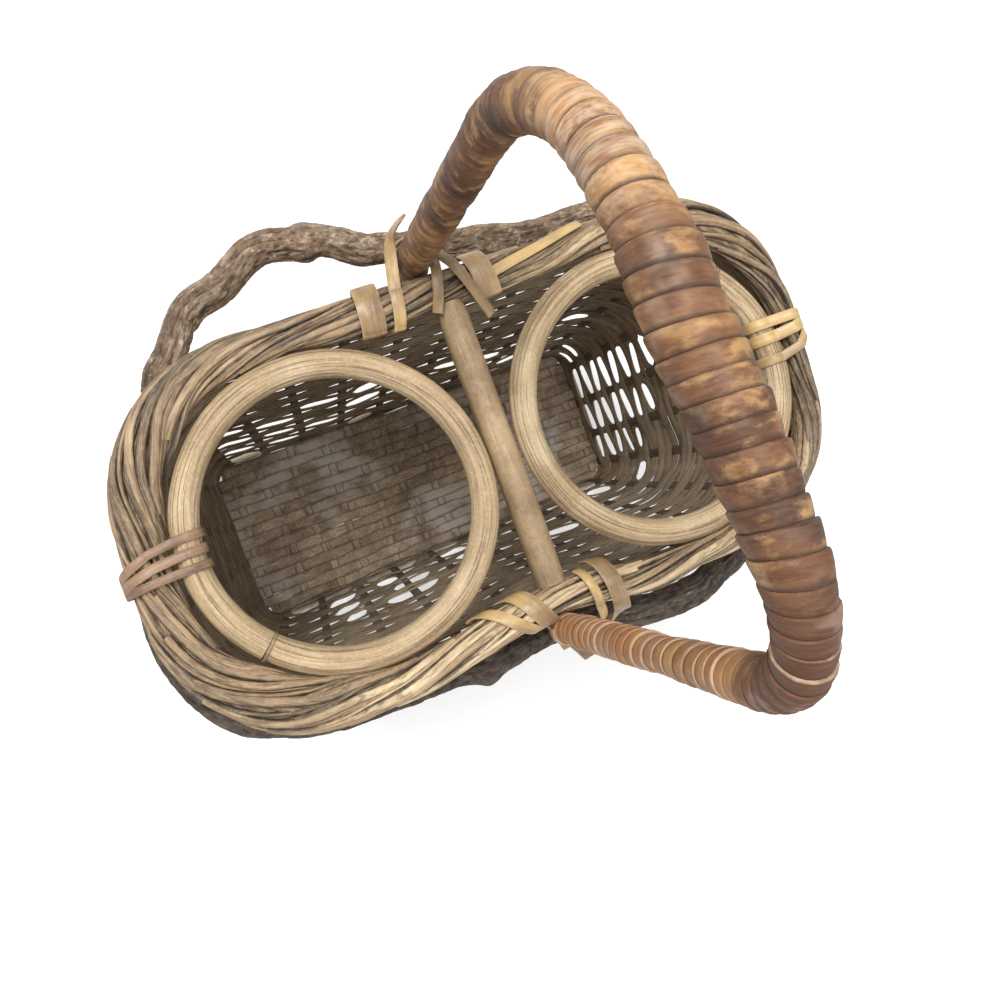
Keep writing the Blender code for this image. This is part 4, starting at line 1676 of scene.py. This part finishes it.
def make_vines():
    """The vine along the rear side and the darker one along the front, in a greyer bark
    darkened further as painted shade.
    """
    rear_stations = (
        (-0.103, 0.0),
        (-0.093, 0.006),
        (-0.076, 0.019),
        (-0.052, 0.0285),
        (-0.034, 0.026),
        (-0.014, 0.018),
        (0.0, 0.0155),
        (0.020, 0.0105),
        (0.045, 0.0060),
        (0.070, 0.0070),
        (0.106, 0.0),
    )
    rear_thickness = (
        (-0.103, 0.0050),
        (-0.07, 0.0058),
        (-0.05, 0.0060),
        (0.0, 0.0055),
        (0.05, 0.0052),
        (0.106, 0.0046),
    )
    rear_drops = ((-0.103, 0.027), (-0.05, 0.022), (0.0, 0.025), (0.06, 0.022), (0.106, 0.026))
    rear_knots = (
        (-0.037, 0.0030, 0.0035, 0.9),
        (-0.020, 0.0008, 0.006, 1.2),
        (0.040, 0.0009, 0.008, 0.4),
    )
    make_vine(
        "rear_bark_vine",
        1,
        rear_drops,
        rear_stations,
        rear_thickness,
        rear_knots,
        bark_finish,
        "vine_rear",
        3.1,
    )
    front_stations = (
        (-0.172, 0.0),
        (-0.145, 0.002),
        (-0.120, 0.0035),
        (-0.085, 0.0008),
        (-0.045, 0.002),
        (-0.022, 0.0068),
        (0.0, 0.0075),
        (0.030, 0.0090),
        (0.057, 0.0095),
        (0.075, 0.0060),
        (0.088, 0.0),
    )
    front_thickness = (
        (-0.172, 0.0048),
        (-0.12, 0.0056),
        (-0.02, 0.0060),
        (0.0, 0.0054),
        (0.05, 0.0058),
        (0.088, 0.0050),
    )
    front_drops = ((-0.172, 0.024), (-0.1, 0.023), (0.0, 0.026), (0.05, 0.022), (0.088, 0.026))
    front_knots = (
        (-0.028, 0.0022, 0.0035, 0.2),
        (-0.11, 0.0010, 0.008, 0.5),
        (0.03, 0.0005, 0.008, 0.4),
    )
    make_vine(
        "front_bark_vine",
        -1,
        front_drops,
        front_stations,
        front_thickness,
        front_knots,
        shaded_grey_bark_finish,
        "vine_front",
        8.4,
    )


# Ties

# How far a tie lies off the rim's bundle, before its own lift, and an end tie's strip.
rim_tie_seat = 0.0013
end_tie_seat = 0.0014
# The strips' widths and thicknesses.
front_tie_width = 0.0066
strip_width = 0.0042
foot_loop_width = 0.0052
curl_width = 0.0060
thin_curl_width = 0.0034
tab_width = 0.0084
short_tab_width = 0.0080
tail_width = 0.0036
tie_thickness = 0.0011
strip_thickness = 0.0010
curl_thickness = 0.0009


def over_rim(side, start, end, x_start, x_end, lift=0.0006, steps=14):
    """Places over the rim's bundle, by angle from outward through up to inward."""
    places = []
    for step in range(steps + 1):
        part = step / steps
        turn = math.radians(start + (end - start) * part)
        share = rim_share_at(x_start + (x_end - x_start) * part, side)
        places.append(bundle_place(share, turn, 1.0, rim_tie_seat + lift))
    return places


def lay_tie(weave, places, width, thickness, tone, steps=4):
    """A tie through places, each a point and the way out of its face."""
    points = smooth_line([place for place, _ in places], steps)
    outs = smooth_line([normal for _, normal in places], steps)
    weave.lay(points, outs, width, thickness, flat_section, tone)


def lay_foot_loop(weave, side, x, y, rise, radius, tone):
    """A tie round the outer side of the handle's foot. The foot's place and the tie's
    rise are in millimetres."""
    loop, steps = [], 14
    for step in range(steps + 1):
        part = step / steps
        angle = math.radians(90 + side * (220 * part - 110))
        radial = Vector((math.cos(angle), side * math.sin(angle), 0))
        loop.append((mm(x, y, -1.5 + rise * part) + radial * radius, radial))
    lay_tie(weave, loop, foot_loop_width, strip_thickness, tone)


def make_front_ties():
    """The ties round the rim at the handle's front foot."""
    wide = Weaving()
    places = over_rim(-1, 205, -5, -0.0155, -0.0045)
    places.append((mm(2, -71.5, -4), Vector((-0.2, -0.6, 0.7))))
    places.append((mm(5, -76, -7), Vector((-0.2, -0.5, 0.8))))
    places.append((mm(7, -79.5, -9), Vector((-0.2, -0.5, 0.8))))
    # The tie darkens towards its tail: painted shade where the tail lies under the handle's foot.
    count = 4 * (len(places) - 1)
    tones = [0.6 * clamp(5 - 6 * step / count) for step in range(count + 1)]
    lay_tie(wide, places, front_tie_width, tie_thickness, tones)
    wide.make("front_wide_tie", tie_finish, "lash_tan", "side_lashing_front_left")
    narrow = Weaving()
    places = over_rim(-1, 215, -25, -0.0300, -0.0065, lift=0.0004)
    places.append((mm(-1.5, -72.5, -4), Vector((0, -0.9, 0.4))))
    lay_tie(narrow, places, strip_width, strip_thickness, 0.86)
    lay_foot_loop(narrow, -1, 0, -65.4, -2, 0.0058, 0.45)
    narrow.make("front_foot_tie", tie_finish, "lash_tan", "foot_lashing_front")
    curls = Weaving()
    places = over_rim(-1, 200, 10, 0.0135, 0.0215, lift=0.0026)
    places.append((mm(17.5, -68.5, -3), Vector((0.5, -0.6, 0.2))))
    places.append((mm(12, -70.5, -7), Vector((0.5, -0.8, 0.0))))
    lay_tie(curls, places, curl_width, strip_thickness, 0.12)
    places = over_rim(-1, 170, 25, 0.0085, 0.0135, lift=0.0004)
    places.append((mm(13.5, -66.5, 0), Vector((0.3, -0.8, 0.4))))
    places.append((mm(11.5, -69.5, -5), Vector((0.3, -0.9, 0.1))))
    lay_tie(curls, places, thin_curl_width, curl_thickness, 0.9)
    curls.make("front_curled_ties", tie_finish, "lash_tan", "side_lashing_front_right")


def make_rear_ties():
    """The ties round the rim at the handle's rear foot, with their loose ends."""
    tab = Weaving()
    places = over_rim(1, -30, 165, -0.0265, -0.0285)
    places.append((mm(-28.6, 52.4, -5), Vector((0, -1, 0.1))))
    places.append((mm(-28.8, 52.0, -12), Vector((0, -1, 0.0))))
    lay_tie(tab, places, tab_width, tie_thickness, 0.40)
    tab.make("rear_wide_tab", tie_finish, "lash_tan", "side_lashing_rear_left")
    yellow = Weaving()
    places = [
        (mm(-9.5, 80.5, 18), Vector((-0.5, 0.8, 0.2))),
        (mm(-12.0, 79.5, 14), Vector((-0.5, 0.6, 0.5))),
        (mm(-14.5, 76.0, 9), Vector((-0.4, 0.4, 0.8))),
    ]
    places += over_rim(1, 60, 165, -0.0175, -0.0200, lift=0.0014, steps=8)
    places.append((mm(-20.4, 52.0, -5), Vector((0, -1, 0.1))))
    places.append((mm(-20.6, 51.6, -11), Vector((0, -1, 0.0))))
    lay_tie(yellow, places, strip_width, strip_thickness, 0.85)
    lay_foot_loop(yellow, 1, -7.2, 71.0, 3, 0.0072, 0.5)
    yellow.make("rear_foot_tie", tie_finish, "lash_tan", "foot_lashing_rear")
    short = Weaving()
    places = over_rim(1, -20, 150, 0.0105, 0.0135, lift=0.0008)
    places.append((mm(14.0, 52.2, -4), Vector((0.1, -1, 0.2))))
    lay_tie(short, places, short_tab_width, tie_thickness, 0.8)
    places = [
        (mm(1.5, 69.0, 4), Vector((0, 0.3, 1))),
        (mm(3.5, 64.0, 8), Vector((0, 0.1, 1))),
        (mm(6.0, 58.0, 8.2), Vector((0, -0.1, 1))),
        (mm(8.6, 51.5, 6.6), Vector((0.2, -0.3, 1))),
        (mm(11.5, 45.0, 3.6), Vector((0.3, -0.4, 1))),
    ]
    lay_tie(short, places, tail_width, curl_thickness, 0.3)
    places = [
        (mm(-1.0, 69.5, 3), Vector((0, 0.3, 1))),
        (mm(-2.4, 64.0, 7), Vector((0, 0.1, 1))),
        (mm(-4.2, 57.0, 6.6), Vector((-0.2, -0.2, 1))),
        (mm(-6.2, 51.0, 4), Vector((-0.7, -0.5, 0.8))),
    ]
    lay_tie(short, places, tail_width, curl_thickness, 0.25)
    places = []
    for step in range(9):
        share = rim_share_at(0.012 + 0.040 * step / 8, 1)
        places.append(bundle_place(share, math.radians(100 - 60 * step / 8), 1.0, 0.0012))
    lay_tie(short, places, tail_width, strip_thickness, 0.88)
    short.make("rear_short_ties", tie_finish, "lash_tan", "side_lashing_rear_right")


# The end ties' strips: where each lies round the ring and on the rim's outer side, in
# millimetres from the middle line, with its width and tone.
end_tie_strips = {
    "left": ((9.0, 1.5, 3.0, 0.35, 1), (4.0, -1.0, 3.2, 0.6, 1), (-1.0, -2.5, 2.8, 0.3, 2)),
    "right": ((11.0, 9.8, 4.0, 0.95, 1), (5.5, 8.6, 4.2, 0.85, 1), (-2.5, 7.4, 3.4, 0.80, 2)),
}


def make_end_ties():
    """Wraps that hold each ring to the rim at the ends: spread on the ring, drawn
    together at the rim's outer side."""
    rim_round = 4 * quarter_length(rim_half_length, rim_half_width, rim_corner)
    for end, word in ((-1, "left"), (1, "right")):
        weaves = {1: Weaving(), 2: Weaving()}
        for on_ring, on_rim, width, tone, number in end_tie_strips[word]:
            middle_share = 0.0 if end > 0 else 0.5
            share = middle_share + end * on_rim / 1000 / rim_round
            centre, _, half, tall = rim_section(share % 1)
            reach = math.sqrt(ring_radius**2 - (on_ring / 1000) ** 2)
            cane = Vector((end * (ring_centre + reach), on_ring / 1000, ring_height))
            places = []
            for step in range(17):
                part = step / 16
                angle = math.radians(-95 + 200 * part)
                way = Vector((end * math.cos(angle), 0, math.sin(angle)))
                across = end * math.cos(angle) * (half + end_tie_seat)
                y = (on_rim + (on_ring - on_rim) * max(0.0, part - 0.45) * 1.5) / 1000
                raised = math.sin(angle) * (tall + end_tie_seat)
                places.append((Vector((centre.x + across, y, ring_height + raised)), way))
            for step in range(11):
                angle = math.radians(75 + 190 * step / 10)
                way = Vector((end * math.cos(angle), 0, math.sin(angle)))
                places.append((cane + way * (cane_width / 2 + 0.0007), way))
            lay_tie(weaves[number], places, width / 1000, strip_thickness, tone)
        for number, weave in weaves.items():
            name = f"{word}_end_tie_{number}"
            finish = worn_tie_finish if word == "left" else tie_finish
            weave.make(name, finish, "lash_yellow", f"end_lashing_{word}_{number}")


# Stage


def make_stage():
    """A pale floor, a white background and three soft lamps."""
    bpy.ops.mesh.primitive_plane_add(size=12, location=(0, 0, -0.0002))
    ground = bpy.context.active_object
    ground.name = "studio_floor"
    surface = bpy.data.materials.new("studio_floor_white")
    surface.use_nodes = True
    tree = surface.node_tree
    shader = tree.nodes["Principled BSDF"]
    shader.inputs["Base Color"].default_value = (0.82, 0.82, 0.82, 1)
    shader.inputs["Roughness"].default_value = 0.9
    shader.inputs["Specular IOR Level"].default_value = 0.1
    shader.inputs["Emission Color"].default_value = (1, 1, 1, 1)
    path = tree.nodes.new("ShaderNodeLightPath")
    glow = sum_up(tree, "MULTIPLY", path.outputs["Is Camera Ray"], 0.30)
    tree.links.new(glow, shader.inputs["Emission Strength"])
    ground.data.materials.append(surface)

    world = bpy.data.worlds.new("studio_world")
    world.use_nodes = True
    tree = world.node_tree
    tree.nodes.clear()
    out = tree.nodes.new("ShaderNodeOutputWorld")
    soft = put(tree, "ShaderNodeBackground", Color=(0.97, 0.98, 1.0, 1), Strength=0.52)
    white = put(tree, "ShaderNodeBackground", Color=(1, 1, 1, 1), Strength=1.0)
    choose = tree.nodes.new("ShaderNodeMixShader")
    path = tree.nodes.new("ShaderNodeLightPath")
    tree.links.new(path.outputs["Is Camera Ray"], choose.inputs[0])
    tree.links.new(soft.outputs[0], choose.inputs[1])
    tree.links.new(white.outputs[0], choose.inputs[2])
    tree.links.new(choose.outputs[0], out.inputs["Surface"])
    bpy.context.scene.world = world

    for name, place, size, power in (
        ("top_softbox", (-0.25, 0.45, 1.35), 0.5, 13.0),
        ("mouth_softbox", (-0.02, -0.02, 1.6), 0.3, 5.0),
        ("front_softbox", (0.7, -0.9, 1.0), 0.9, 4.0),
    ):
        lamp = bpy.data.lights.new(name, "AREA")
        lamp.shape = "SQUARE"
        lamp.size = size
        lamp.energy = power
        item = bpy.data.objects.new(name, lamp)
        item.location = place
        aim = Vector((0, 0, 0.15)) - Vector(place)
        item.rotation_euler = aim.to_track_quat("-Z", "Y").to_euler()
        bpy.context.scene.collection.objects.link(item)


def make_camera():
    """The photo's viewpoint, above the left ring."""
    lens = bpy.data.cameras.new("photo_camera")
    lens.sensor_width = 36
    lens.lens = 32.4
    lens.clip_start = 0.01
    item = bpy.data.objects.new("photo_camera", lens)
    item.location = (-0.0756, 0.0010, 0.5092)
    item.rotation_euler = [math.radians(turn) for turn in (1.65, -13.06, -20.65)]
    bpy.context.scene.collection.objects.link(item)
    bpy.context.scene.camera = item


make_camera()
make_stage()
make_floor()
make_stakes()
make_wall()
make_rim()
make_ring("left_ring_cane", -1, "bottle_ring_left")
make_ring("right_ring_cane", 1, "bottle_ring_right")
make_divider()
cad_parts["handle_pole"].data.materials.clear()
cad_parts["handle_pole"].data.materials.append(pole_finish)
make_wrap()
make_vines()
make_front_ties()
make_rear_ties()
make_end_ties()

bpy.context.scene.view_settings.view_transform = "Standard"
